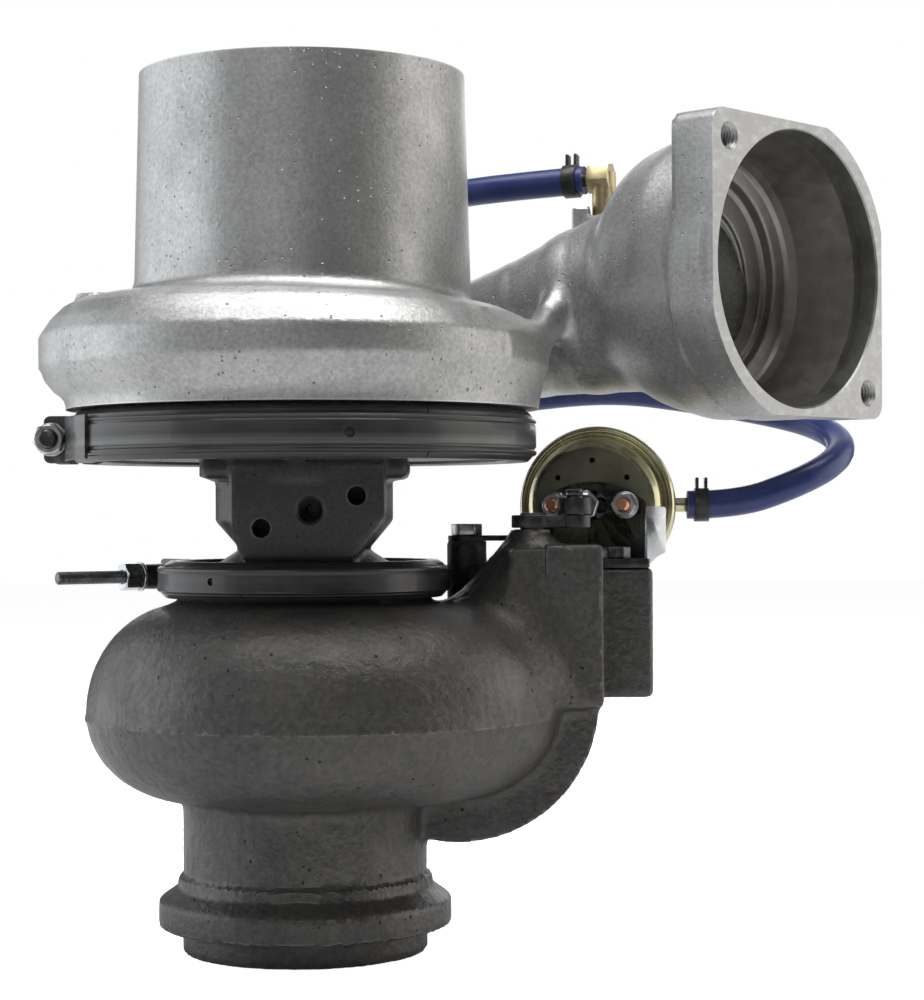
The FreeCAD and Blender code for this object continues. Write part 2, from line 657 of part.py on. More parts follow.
def build_compressor_housing():
    joint, top = compressor_joint, inlet_face
    lip = joint + lip_height
    groove_radius = joint_flange_radius - flange_step
    shoulder = scroll_middle + 30
    body = turned([
        (0, joint), (joint_flange_radius, joint), (joint_flange_radius, joint + compressor_flange_edge),
        (groove_radius, joint + compressor_flange_edge + flange_rise), (groove_radius, lip),
        (body_flange_radius, lip), (111.3, lip + 4), (121.5, lip + 17),
        (body_radius, lip + 20), (body_radius, lip + 33.7), (120.5, lip + 43), (113, lip + 49.5),
        (106, shoulder), (inlet_root_radius, shoulder), (inlet_radius + 1.0, top - inlet_land),
        (inlet_radius, top - inlet_land), (inlet_radius, top), (0, top)])
    grown = scroll([(92, 26, 24, 150, scroll_middle + 4), (96, 28, 26, 120, scroll_middle + 6),
                    (102, 31, 29, 95, scroll_middle + 8), (108, 33, 31, 72, scroll_middle + 12)])
    duct = round_loft([((20, 104, 286), (1, 0, 0), 31), ((75, 88, 289), (0.95, -0.15, 0.05), 32),
                       ((120, 70, 298), (0.95, -0.2, 0.15), 38), ((160, 52, 308), (0.9, -0.3, 0.1), 46),
                       ((192, 38, 316), (0.9, -0.5, 0), 54)])
    bowl_back = -discharge_depth - 26
    bowl = placed(turned([(0, bowl_back), (34, bowl_back + 3), (52, bowl_back + 12),
                          (63, bowl_back + 25), (discharge_half, bowl_back + 45), (discharge_half, -8),
                          (0, -8)]), face_centre, face_normal)
    plate = Part.Face(discharge_outline(0.0)).extrude(face_normal * -discharge_plate)
    pad = disc(11.0, Vector(fitting_x, fitting_y, scroll_middle + 40), UP,
               fitting_base - scroll_middle - 40)
    body = body.fuse([grown, duct, bowl, plate, pad])

    base = compressor_back
    shroud = turned([
        (0, joint - 1), (backplate_radius, joint - 1), (backplate_radius, base + compressor_tip_height + 0.5),
        (compressor_tip_radius + 2, base + compressor_tip_height + 0.5),
        (compressor_tip_radius, base + compressor_tip_height + 0.6), (43 + blade_gap, base + 12.3),
        (compressor_eye_radius + blade_gap, base + 26.3), (compressor_eye_radius + blade_gap, base + 72),
        (compressor_eye_radius + 5, base + 80), (inlet_bore_radius - 8, base + 104),
        (inlet_bore_radius, top - 42), (inlet_bore_radius, top + 1), (0, top + 1)])
    floor = lip + scroll_floor
    inner = backplate_radius - 4
    channel = turned([(inner, floor), (99, floor), (108, floor + 3), (115, floor + 11), (113, base + 32),
                      (104, base + 42), (92, base + 43), (82, base + 36), (inner, base + 24)])
    swell = scroll([(97, 20, 20, 140, scroll_middle + 2), (102, 24, 23, 95, scroll_middle + 7),
                    (106, 26, 25, 72, scroll_middle + 11)])
    passage = round_loft([((20, 104, 286), (1, 0, 0), 25), ((75, 88, 289), (0.95, -0.15, 0.05), 26),
                          ((120, 70, 298), (0.95, -0.2, 0.15), 30), ((160, 52, 308), (0.9, -0.3, 0.1), 34),
                          ((197, 36, 314), (0.9, -0.5, 0), 36)])
    hollow = placed(turned([(0, -discharge_depth), (discharge_bore_radius - 18, -discharge_depth),
                            (discharge_bore_radius - 4, -discharge_depth + 12),
                            (discharge_bore_radius + 1.2, -discharge_land - 22),
                            (discharge_bore_radius + 1.2, -discharge_land),
                            (discharge_bore_radius, -discharge_land), (discharge_bore_radius, 1),
                            (0, 1)]), face_centre, face_normal)
    cutters = [shroud, channel, swell, passage, hollow,
               disc(hose_bore_radius, Vector(fitting_x, fitting_y, fitting_base - 45), UP, 46)]
    corner = discharge_bolt_reach / math.sqrt(2)
    for side in (-1, 1):
        cutters.append(disc(discharge_bolt_radius, on_face(side * corner, -side * corner, 1),
                            face_normal * -1, discharge_bolt_depth + 1))
    for cutter in cutters:
        body = body.cut(cutter)
    export("compressor_housing", body.removeSplitter())


def build_backplate():
    """The disc behind the compressor wheel, spigoted into the housing above the joint."""
    joint, seal_depth = compressor_joint, 2.4
    edge = backplate_radius - seal_gap
    plate = turned([
        (flinger_radius + seal_gap, joint), (34, joint), (34, joint + 0.01), (edge, joint + 0.01),
        (edge, joint + 3), (edge - seal_depth, joint + 3), (edge - seal_depth, joint + 6),
        (edge, joint + 6), (edge, compressor_back - 0.6),
        (compressor_tip_radius + 1.5, compressor_back - 0.6),
        (compressor_tip_radius + 1.5, compressor_back - 1.2), (20, compressor_back - 1.2),
        (flinger_radius + seal_gap, compressor_back - 2.5)])
    export("compressor_backplate", plate)
    export("backplate_seal_ring", ring(edge - seal_depth, backplate_radius, joint + 3.1, joint + 5.9))


# ---------------------------------------------------------------- clamp bands
def build_band(name, joint, flange, edge, reach_down, reach_up, strap_inner, angle, bolt_radius, lug):
    """A V-section clamp band: three retainers, a strap, two lugs, a T-bolt and its nut."""
    root = flange - flange_step + groove_gap
    low, high = joint - reach_down, joint + reach_up
    slot = edge + groove_gap
    segments = []
    for i in range(3):
        profile = [(flange + part_gap, joint - slot), (root, joint - slot - flange_rise), (root, low),
                   (strap_inner - 1.5, low), (strap_inner, low + 2), (strap_inner, high - 2),
                   (strap_inner - 1.5, high), (root, high), (root, joint + slot + flange_rise),
                   (flange + part_gap, joint + slot)]
        segments.append(turned(profile, 112.0, angle + 8.0 + 116.0 * i))
    export(name + "_retainers", Part.Compound(segments))
    strap_outer = strap_inner + strap_thickness
    half_strap = reach_down - 2.6
    strap = turned([(strap_inner, joint - half_strap), (strap_outer, joint - half_strap),
                    (strap_outer, joint + half_strap), (strap_inner, joint + half_strap)],
                   360.0 - 2 * lug["gap"], angle + lug["gap"])
    hole = disc(lug["hole"], Vector(0, 0, joint), polar(1, lug["hole_angle"]), strap_outer + 5)
    export(name + "_strap", strap.cut(hole))

    tangent = polar(1, angle + 90)
    middle = polar(lug["bolt_line"], angle, joint)
    lugs = []
    for side in (-1, 1):
        base = middle + tangent * (side * lug["reach"])
        plate = Part.makeBox(lug["width"], lug["thickness"], 2 * reach_down,
                             Vector(lug["inner"], -lug["thickness"] / 2, joint - reach_down))
        plate.rotate(Vector(), UP, angle)
        plate.translate(tangent * (side * lug["reach"]))
        sleeve = placed(ring(0, bolt_radius + 3.0, -lug["thickness"], lug["thickness"]), base, tangent)
        piece = plate.fuse(sleeve).cut(disc(bolt_radius + part_gap, base - tangent * 20, tangent, 40))
        lugs.append(piece.cut(ring(0, strap_outer, joint - reach_down - 1, joint + reach_down + 1)))
    export(name + "_lugs", Part.Compound([s for piece in lugs for s in piece.Solids]))
    head = middle - tangent * (lug["reach"] + lug["thickness"] + 3.0)
    bolt = disc(bolt_radius, head, tangent, lug["bolt_length"])
    bar = placed(ring(0, bolt_radius + 1.6, -reach_down + 2, reach_down - 2),
                 head + tangent * 1.5, UP)
    bar = bar.common(placed(ring(0, 40, 0, 3.0), head, tangent))
    export(name + "_bolt", bolt.fuse(bar).removeSplitter())
    seat = middle + tangent * (lug["reach"] + lug["thickness"])
    washer = placed(ring(bolt_radius + 0.1, lug["nut_size"] * 0.56, 0, 1.6), seat, tangent)
    body = placed(nut(lug["nut_size"], lug["nut_height"], bolt_radius), seat + tangent * 1.6, tangent)
    export(name + "_nut", Part.Compound([body, washer]))


# ---------------------------------------------------------------- wastegate
lever_turn = math.radians(lever_rest)
pin_spot = Vector(lever_x + lever_reach * math.cos(lever_turn),
                  lever_y + lever_reach * math.sin(lever_turn), 0)


def build_wastegate():
    top = lever_bottom + lever_thickness
    hub = disc(9.5, Vector(lever_x, lever_y, lever_bottom), UP, lever_thickness)
    tip = disc(7.5, Vector(pin_spot.x, pin_spot.y, lever_bottom), UP, lever_thickness)
    web = block((lever_x, lever_y - 6.0, lever_bottom),
                (lever_x + lever_reach, lever_y + 6.0, top))
    web.rotate(Vector(lever_x, lever_y, 0), UP, lever_rest)
    lever = hub.fuse([tip, web]).cut(disc(wastegate_shaft_radius, Vector(lever_x, lever_y, 0), UP, 400))
    lever = lever.cut(disc(lever_pin_radius, Vector(pin_spot.x, pin_spot.y, 0), UP, 400))
    export("wastegate_lever", lever.removeSplitter())
    export("lever_pin", disc(lever_pin_radius, Vector(pin_spot.x, pin_spot.y, lever_bottom), UP,
                             lever_thickness + rod_eye_height + 4.0).cut(
        placed(ring(lever_pin_radius - 0.7, lever_pin_radius + 1, 0, 1.2),
               Vector(pin_spot.x, pin_spot.y, top + rod_eye_height + 1.2), UP)))
    export("lever_clip", placed(split_ring(lever_pin_radius - 0.6, lever_pin_radius + 3, 0.1, 1.1),
                                Vector(pin_spot.x, pin_spot.y, top + rod_eye_height + 1.2), UP))
    arm_low = flap_z - 5.0
    shaft_low = arm_low - 3
    export("wastegate_shaft", disc(wastegate_shaft_radius, Vector(lever_x, lever_y, shaft_low), UP,
                                   top + 1.0 - shaft_low))
    arm = disc(arm_radius, Vector(lever_x, lever_y, arm_low), UP, 10)
    bar = block((lever_x, flap_seat_y - flap_thickness - 8, arm_low),
                (flap_x + 5, flap_seat_y - flap_thickness - 0.4, arm_low + 10))
    arm = arm.fuse(bar).cut(disc(wastegate_shaft_radius, Vector(lever_x, lever_y, 0), UP, 400))
    stem = Vector(flap_x, flap_seat_y - flap_thickness, flap_z)
    arm = arm.cut(disc(3.2, Vector(flap_x, -60, flap_z), BACK, 120))
    export("wastegate_arm", arm.removeSplitter())
    flap = disc(flap_radius, stem, BACK, flap_thickness - 0.05)
    export("wastegate_valve", flap.fuse(disc(3.0, stem + Vector(0, -13.0, 0), BACK, 13.0)).removeSplitter())
    export("valve_washer", placed(ring(3.0, 6.0, 0, 2.0), stem + Vector(0, -8.2, 0), FRONT))


rod_eye_height = 8.0
can_axis = Vector(-math.sin(math.radians(can_turn)), -math.cos(math.radians(can_turn)), 0)
can_side = Vector(math.cos(math.radians(can_turn)), -math.sin(math.radians(can_turn)), 0)
can_centre = Vector(can_x, can_y, can_z)


def build_actuator():
    """The can's axis runs out of its face to the lever; 0 is the plane of the rolled rim."""
    wall, rim = can_wall, can_radius
    front = [(rim - 2.5, 0.15), (rim, 0.15), (rim, 3.0), (rim - 3.5, 4.0), (rim - 5.0, can_front_depth - 3),
             (can_face_radius + 1.5, can_front_depth - 1.0), (can_face_radius, can_front_depth),
             (rod_radius + 4.0, can_front_depth), (rod_radius + 4.0, can_front_depth - wall),
             (can_face_radius - 0.5, can_front_depth - wall),
             (can_face_radius + 0.5, can_front_depth - 1.0 - wall), (rim - 6.8, can_front_depth - 4.5),
             (rim - 5.4, 2.0), (rim - 2.5, 1.4)]
    shell = placed(turned(front), can_centre, can_axis)
    for angle in (90, 38, 142):
        spot = can_centre + can_side * (22 * math.cos(math.radians(angle))) \
            + UP * (22 * math.sin(math.radians(angle)))
        shell = shell.cut(disc(1.3, spot, can_axis, 20))
    studs = []
    for side in (-1, 1):
        spot = can_centre + can_side * (side * stud_spacing / 2)
        shell = shell.cut(disc(stud_radius, spot, can_axis, 20))
        studs.append(spot)
    export("actuator_front_can", shell)
    deep = -can_rear_depth
    rear = [(rim, -0.15), (rim, -3.0), (rim - 3.5, -4.0), (rim - 4.0, deep + 8), (rim - 9.0, deep + 1.5),
            (rim - 13, deep), (0, deep), (0, deep + wall), (rim - 13.4, deep + wall),
            (rim - 10.2, deep + 2.6), (rim - 5.6, deep + 8.4), (rim - 5.2, -3.0), (rim - 2.5, -1.4),
            (rim - 2.5, -0.15)]
    shell = placed(turned(rear), can_centre, can_axis)
    nipple_spot = Vector(can_x, nipple_y, can_z)
    nipple_way = RIGHT
    shell = shell.cut(disc(5.0, nipple_spot, nipple_way, 60))
    export("actuator_rear_can", shell)
    nipple = disc(5.0, nipple_spot + nipple_way * (rim - 8.0), nipple_way, 5.6)
    tail = disc(hose_bore_radius, nipple_spot + nipple_way * (rim - 2.5), nipple_way, 20.0)
    nipple = nipple.fuse(tail).cut(disc(1.8, nipple_spot, nipple_way, 80))
    export("actuator_nipple", nipple.removeSplitter())

    def piece(profile):
        return placed(turned(profile), can_centre, can_axis)

    export("actuator_diaphragm", piece([(rim - 0.4, -0.14), (rim - 0.4, 0.14), (27.0, 0.14), (24.5, -6.0),
                                        (20.2, -6.0), (20.2, -7.2), (25.4, -7.2), (27.6, -0.14)]))
    export("actuator_piston", piece([(rod_radius, -7.4), (20.0, -7.4), (20.0, -4.0), (18.8, -4.0),
                                     (18.8, -6.0), (rod_radius, -6.0)]))
    rounds = []
    for i in range(int(spring_length / spring_pitch * spring_steps) + 1):
        turn = 2 * math.pi * i / spring_steps
        spot = Vector(spring_radius * math.cos(turn), spring_radius * math.sin(turn),
                      spring_pitch * i / spring_steps)
        way = Vector(-math.sin(turn), math.cos(turn), spring_pitch / (2 * math.pi * spring_radius))
        rounds.append(Part.Wire([Part.Circle(spot, way, spring_wire_radius).toShape()]))
    spring = Part.makeLoft(rounds, True, True)
    export("actuator_spring", placed(spring, can_centre - can_axis * 4.9, can_axis))

    # rod, with its eye over the lever pin
    start = can_centre - can_axis * 8.5
    eye = Vector(pin_spot.x, pin_spot.y, lever_bottom + lever_thickness)
    along = Vector(eye.x, eye.y, can_z) - start
    length = along.Length
    along.normalize()
    rod_length = length - rod_eye_radius - 6
    rod = disc(rod_core_radius, start, along, rod_length)
    export("actuator_rod", rod)
    end = Vector(eye.x, eye.y, eye.z + 0.5)
    eye_body = disc(rod_eye_radius, end, UP, rod_eye_height - 0.5)
    socket_low = start + along * (length - rod_eye_radius - socket_length)
    socket = disc(rod_radius + 1.2, socket_low, along, socket_length + 3)
    eye_body = eye_body.fuse(socket)
    eye_body = eye_body.cut(disc(lever_pin_radius + pin_gap, end - UP, UP, rod_eye_height + 2))
    eye_body = eye_body.cut(disc(rod_core_radius, start, along, rod_length))
    clip_side = block((eye.x - 10, eye.y - 10, eye.z + rod_eye_height), (eye.x + 10, eye.y + 10, can_z + 20))
    eye_body = eye_body.cut(clip_side)
    eye_body = eye_body.common(block((-500, -500, eye.z + 0.5), (500, 500, can_z + 20)))
    export("actuator_rod_end", eye_body.removeSplitter())
    export("rod_locknut", placed(nut(13.0, 5.5, rod_core_radius), socket_low - along * 5.6, along))

    # studs, nuts and the bracket that holds the can
    seat = can_front_depth
    stud_set, nut_set = [], []
    for spot in studs:
        stud_set.append(disc(stud_radius, spot + can_axis * (seat - 3.0), can_axis, 18.0))
        nut_set.append(placed(nut(11.0, 5.4, stud_radius),
                              spot + can_axis * (seat + bracket_thickness), can_axis))
    export("actuator_studs", Part.Compound(stud_set))
    export("actuator_nuts", Part.Compound(nut_set))
    build_bracket(studs, seat)


def build_bracket(studs, seat):
    plate_top = inlet_plate_middle_z + inlet_plate_height / 2
    thick = bracket_thickness
    upright = placed(ring(0, 25.5, 0, thick), can_centre + can_axis * seat, can_axis)
    middle = can_centre + can_axis * (seat + thick / 2)
    skirt = Part.makeBox(53.0, thick, can_z + 3 - plate_top, Vector(-26.5, -thick / 2, plate_top))
    skirt.rotate(Vector(), UP, -can_turn)
    skirt.translate(Vector(middle.x, middle.y, 0))
    upright = upright.common(block((-500, -500, plate_top), (500, 500, bracket_top))).fuse(skirt)
    right = middle + can_side * 26.5
    left = middle - can_side * 26.5
    foot = face([(block_right + 1.5, inlet_plate_front, plate_top),
                 (right.x, inlet_plate_front, plate_top), (right.x, right.y, plate_top),
                 (left.x + 10, left.y - 3, plate_top), (block_right + 1.5, 34, plate_top)])
    foot = foot.extrude(Vector(0, 0, thick))
    cheek = block((right.x - 1, inlet_plate_front + 6, plate_top), (right.x + 2.0, right.y, can_z - 4))
    arm_low = left_boss_top
    arm = block((left_boss_x - 9, left_boss_y - 9, arm_low), (left.x + 2, left_boss_y + 9, arm_low + 2.6))
    arm = rounded(arm, UP, 8.0)
    tab = block((left.x - 4, left_boss_y - 4, arm_low), (left.x + 12, left.y + 3, arm_low + 2.6))
    bracket = upright.fuse([foot, cheek, arm, tab])
    for spot in studs:
        bracket = bracket.cut(disc(stud_radius, spot, can_axis, 60))
    bracket = bracket.cut(disc(rod_radius + 3.2, can_centre, can_axis, 60))
    bracket = bracket.cut(disc(bracket_bolt_radius, Vector(bracket_bolt_x, bracket_bolt_y, 0), UP, 400))
    bracket = bracket.cut(disc(bracket_bolt_radius, Vector(left_boss_x, left_boss_y, 0), UP, 400))
    behind = placed(ring(0, 60, -40, seat), can_centre, can_axis)
    export("actuator_bracket", bracket.cut(behind).removeSplitter())
    bolts = []
    for x, y, seat_z, depth in ((bracket_bolt_x, bracket_bolt_y, plate_top + thick, 13.0 + thick),
                                (left_boss_x, left_boss_y, left_boss_top + 2.6, 17.0 + 2.6)):
        shank = disc(bracket_bolt_radius, Vector(x, y, seat_z - depth), UP, depth)
        head = placed(hexagon(bolt_head_across, bolt_head_height), Vector(x, y, seat_z), UP)
        bolts.append(shank.fuse(head).removeSplitter())
    export("bracket_bolts", Part.Compound(bolts))


# ---------------------------------------------------------------- hose and fittings
def build_hose():
    path, radii = smooth_path(hose_route)
    start, end = Vector(*hose_route[0]), Vector(*hose_route[-1])
    way_in = (Vector(*hose_route[1]) - start).normalize()
    way_out = (end - Vector(*hose_route[-2])).normalize()
    outer = Part.Wire([Part.Circle(start, way_in, hose_radius).toShape()])
    tube = Part.Wire(path.Edges).makePipeShell([outer], True, False)
    expected = math.pi * hose_radius ** 2 * path.Length
    print("hose length", round(path.Length, 1), "volume ratio", round(tube.Volume / expected, 4))
    print("hose radii", [round(r, 1) for r in radii])
    tube = tube.cut(disc(hose_bore_radius, start - way_in * 2, way_in, 22))
    tube = tube.cut(disc(hose_bore_radius, end + way_out * 2, way_out * -1, 22))
    export("boost_hose", tube)
    clamps = []
    for spot, way in ((start + way_in * 7, way_in), (end - way_out * 7, way_out * -1)):
        band = placed(ring(hose_radius, hose_radius + 1.3, -3.5, 3.5), spot, way)
        ears = []
        for shift in (-2.2, 2.2):
            ear = Part.makeBox(1.4, 5.0, 5.5, Vector(-0.7, -2.5, hose_radius + 1.0))
            ear.Placement = Placement(spot + way * shift, Rotation(RIGHT, way))
            ears.append(ear)
        clamps.append(band.fuse(ears).removeSplitter())
    export("hose_clamps", Part.Compound(clamps))
    tail = disc(hose_bore_radius, start - way_in * 3, way_in, 21)
    body = placed(hexagon(14.0, 11.0), start - way_in * 14.0, way_in)
    elbow = start - way_in * 10.0
    stem = Part.makeCylinder(6.0, elbow.z - fitting_base + 3, Vector(elbow.x, elbow.y, fitting_base), UP)
    fitting = body.fuse([tail, stem])
    fitting = fitting.cut(disc(1.8, start - way_in * 10.0, way_in, 60))
    fitting = fitting.cut(disc(1.8, Vector(elbow.x, elbow.y, fitting_base - 1), UP, 20))
    export("boost_fitting", fitting.removeSplitter())


build_rotor()
build_bearings()
build_bearing_housing()
build_turbine_housing()
build_compressor_housing()
build_backplate()
build_band("turbine_band", turbine_joint, turbine_flange_radius, turbine_flange_edge, 8.6, 8.6,
           turbine_band_radius - strap_thickness, turbine_band_angle, turbine_band_bolt_radius,
           {"gap": 12.0, "hole": 1.8, "hole_angle": 250.0, "bolt_line": turbine_band_radius + 11.3,
            "inner": turbine_band_radius - 8.7, "width": 27.0, "thickness": 4.0, "reach": 28.0,
            "bolt_length": 130.0, "nut_height": 9.0, "nut_size": 12.0})
build_band("compressor_band", compressor_joint, joint_flange_radius, compressor_flange_edge, 11.0,
           lip_height - part_gap, band_outer_radius - strap_thickness, compressor_band_angle,
           compressor_band_bolt_radius,
           {"gap": 5.0, "hole": 2.5, "hole_angle": 284.0, "bolt_line": band_outer_radius + 6.6,
            "inner": band_outer_radius - 9.4, "width": 20.0, "thickness": 4.0, "reach": 12.0,
            "bolt_length": 48.0, "nut_height": 8.0, "nut_size": 13.0})
build_wastegate()
build_actuator()
build_hose()
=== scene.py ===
import json
import math

import bmesh
import bpy
import numpy as np
from mathutils import Matrix, Vector


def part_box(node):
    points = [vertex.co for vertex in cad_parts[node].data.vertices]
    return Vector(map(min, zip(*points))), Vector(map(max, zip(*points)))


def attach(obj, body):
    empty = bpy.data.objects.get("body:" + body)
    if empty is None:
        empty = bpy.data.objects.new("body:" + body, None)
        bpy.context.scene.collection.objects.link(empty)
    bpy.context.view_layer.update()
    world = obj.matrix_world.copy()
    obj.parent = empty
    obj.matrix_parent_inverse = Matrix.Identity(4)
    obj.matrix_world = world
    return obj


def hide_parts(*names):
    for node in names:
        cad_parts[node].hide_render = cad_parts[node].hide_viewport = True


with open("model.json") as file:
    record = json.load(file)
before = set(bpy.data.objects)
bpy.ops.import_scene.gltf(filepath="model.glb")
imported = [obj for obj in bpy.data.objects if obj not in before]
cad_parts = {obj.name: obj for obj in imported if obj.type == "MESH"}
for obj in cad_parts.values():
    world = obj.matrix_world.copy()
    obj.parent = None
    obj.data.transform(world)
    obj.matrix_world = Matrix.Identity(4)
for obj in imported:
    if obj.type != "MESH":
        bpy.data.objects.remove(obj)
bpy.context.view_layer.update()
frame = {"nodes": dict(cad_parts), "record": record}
mm = 0.001          # every shape below is worked out in millimetres and stored in metres
print("frame loaded:", len(frame["nodes"]), "nodes")


# camera, light and floor
cameraValues = {"place": (74.3, -1129.0, 203.4), "lens": 86.4, "pitch": 0.33, "roll": 0.26}
lightValues = {
    "left": {"place": (-1200, 150, 470), "size": (1900, 1200), "power": 12.5, "colour": (0.94, 0.97, 1.0)},
    "right": {"place": (1350, 200, 400), "size": (1500, 1200), "power": 9.5, "colour": (1.0, 0.98, 0.95)},
    "top": {"place": (60, -150, 1500), "size": (1500, 900), "power": 23.5, "colour": (1.0, 1.0, 1.0)},
    "front": {"place": (-500, -1500, 900), "size": (900, 700), "power": 2.2, "colour": (1.0, 1.0, 1.0)},
    "back": {"place": (200, 1500, 700), "size": (1500, 900), "power": 10.0, "colour": (1.0, 1.0, 1.0)},
}
roomValues = {"seen": 1.0, "felt": 0.06, "floor": 0.86, "floorGlow": 0.92}
aim = (75.0, 10.0, 205.0)


def addCamera(values):
    data = bpy.data.cameras.new("camera")
    data.lens = values["lens"]
    data.sensor_width = 36.0
    data.clip_start, data.clip_end = 0.01, 50.0
    camera = bpy.data.objects.new("camera", data)
    bpy.context.scene.collection.objects.link(camera)
    pitch, roll = math.radians(values["pitch"]), math.radians(values["roll"])
    turn = Matrix.Rotation(math.pi / 2 + pitch, 4, "X") @ Matrix.Rotation(-roll, 4, "Z")
    camera.matrix_world = Matrix.Translation(Vector(values["place"]) * mm) @ turn
    bpy.context.scene.camera = camera


def addLights(values):
    for name, light in values.items():
        data = bpy.data.lights.new(name, "AREA")
        data.shape = "RECTANGLE"
        data.size, data.size_y = (side * mm for side in light["size"])
        data.energy = light["power"]
        data.color = light["colour"]
        lamp = bpy.data.objects.new(name, data)
        bpy.context.scene.collection.objects.link(lamp)
        lamp.location = Vector(light["place"]) * mm
        lamp.rotation_euler = (Vector(aim) * mm - lamp.location).to_track_quat("-Z", "Y").to_euler()
    world = bpy.data.worlds.new("studio")
    bpy.context.scene.world = world
    world.use_nodes = True
    tree = world.node_tree
    background = tree.nodes["Background"]
    background.inputs["Color"].default_value = (1.0, 1.0, 1.0, 1.0)
    path = addNode(tree, "ShaderNodeLightPath")
    strength = mapped(tree, path.outputs["Is Camera Ray"], (0, 1), (roomValues["felt"], roomValues["seen"]))
    tree.links.new(strength, background.inputs["Strength"])
    bpy.context.scene.view_settings.view_transform = "Standard"


# A flat floor that is nearly white to the camera and plain grey to the object.
def addFloor():
    half = 6.0
    mesh = bpy.data.meshes.new("floor")
    mesh.from_pydata([(-half, -half, 0), (half, -half, 0), (half, half, 0), (-half, half, 0)], [],
                     [(0, 1, 2, 3)])
    floor = bpy.data.objects.new("floor", mesh)
    bpy.context.scene.collection.objects.link(floor)
    material, tree, shader = newMaterial("paleFloor")
    shader.inputs["Base Color"].default_value = (roomValues["floor"],) * 3 + (1.0,)
    shader.inputs["Roughness"].default_value = 0.8
    shader.inputs["Emission Color"].default_value = (1.0, 1.0, 1.0, 1.0)
    path = addNode(tree, "ShaderNodeLightPath")
    glow = mapped(tree, path.outputs["Is Camera Ray"], (0, 1), (0.0, roomValues["floorGlow"]))
    tree.links.new(glow, shader.inputs["Emission Strength"])
    mesh.materials.append(material)


# shader helpers
# A node with attributes from settings and socket values by name, spaces written as _.
def addNode(tree, kind, settings=None, **values):
    node = tree.nodes.new(kind)
    for key, value in (settings or {}).items():
        setattr(node, key, value)
    for key, value in values.items():
        name = key.replace("_", " ")
        if hasattr(value, "is_output"):
            tree.links.new(value, node.inputs[name])
        else:
            node.inputs[name].default_value = value
    return node


# One Math node; values may be sockets or plain numbers.
def sums(tree, operation, first, second=None, clamp=False):
    node = addNode(tree, "ShaderNodeMath", {"operation": operation, "use_clamp": clamp})
    for socket, value in zip(node.inputs, (first, second)):
        if value is None:
            continue
        if hasattr(value, "is_output"):
            tree.links.new(value, socket)
        else:
            socket.default_value = value
    return node.outputs[0]


def mapped(tree, value, source, target):
    node = addNode(tree, "ShaderNodeMapRange", Value=value, From_Min=source[0], From_Max=source[1],
                   To_Min=target[0], To_Max=target[1])
    return node.outputs["Result"]


def mixed(tree, factor, first, second):
    node = addNode(tree, "ShaderNodeMix", {"data_type": "RGBA"})
    for socket, value in zip((node.inputs[0], node.inputs[6], node.inputs[7]), (factor, first, second)):
        if hasattr(value, "is_output"):
            tree.links.new(value, socket)
        else:
            socket.default_value = value if isinstance(value, float) else (*value, 1.0)
    return node.outputs[2]


def newGroup(name, inputs, outputs):
    tree = bpy.data.node_groups.new(name, "ShaderNodeTree")
    for label, kind, value in inputs:
        socket = tree.interface.new_socket(label, in_out="INPUT", socket_type=kind)
        if value is not None:
            socket.default_value = value
    for label, kind in outputs:
        tree.interface.new_socket(label, in_out="OUTPUT", socket_type=kind)
    return tree, tree.nodes.new("NodeGroupInput"), tree.nodes.new("NodeGroupOutput")


def useGroup(tree, group, **values):
    node = tree.nodes.new("ShaderNodeGroup")
    node.node_tree = group
    for key, value in values.items():
        socket = node.inputs[key.replace("_", " ")]
        if hasattr(value, "is_output"):
            tree.links.new(value, socket)
        else:
            socket.default_value = value
    return node


def newMaterial(name):
    material = bpy.data.materials.new(name)
    material.use_nodes = True
    tree = material.node_tree
    return material, tree, tree.nodes["Principled BSDF"]


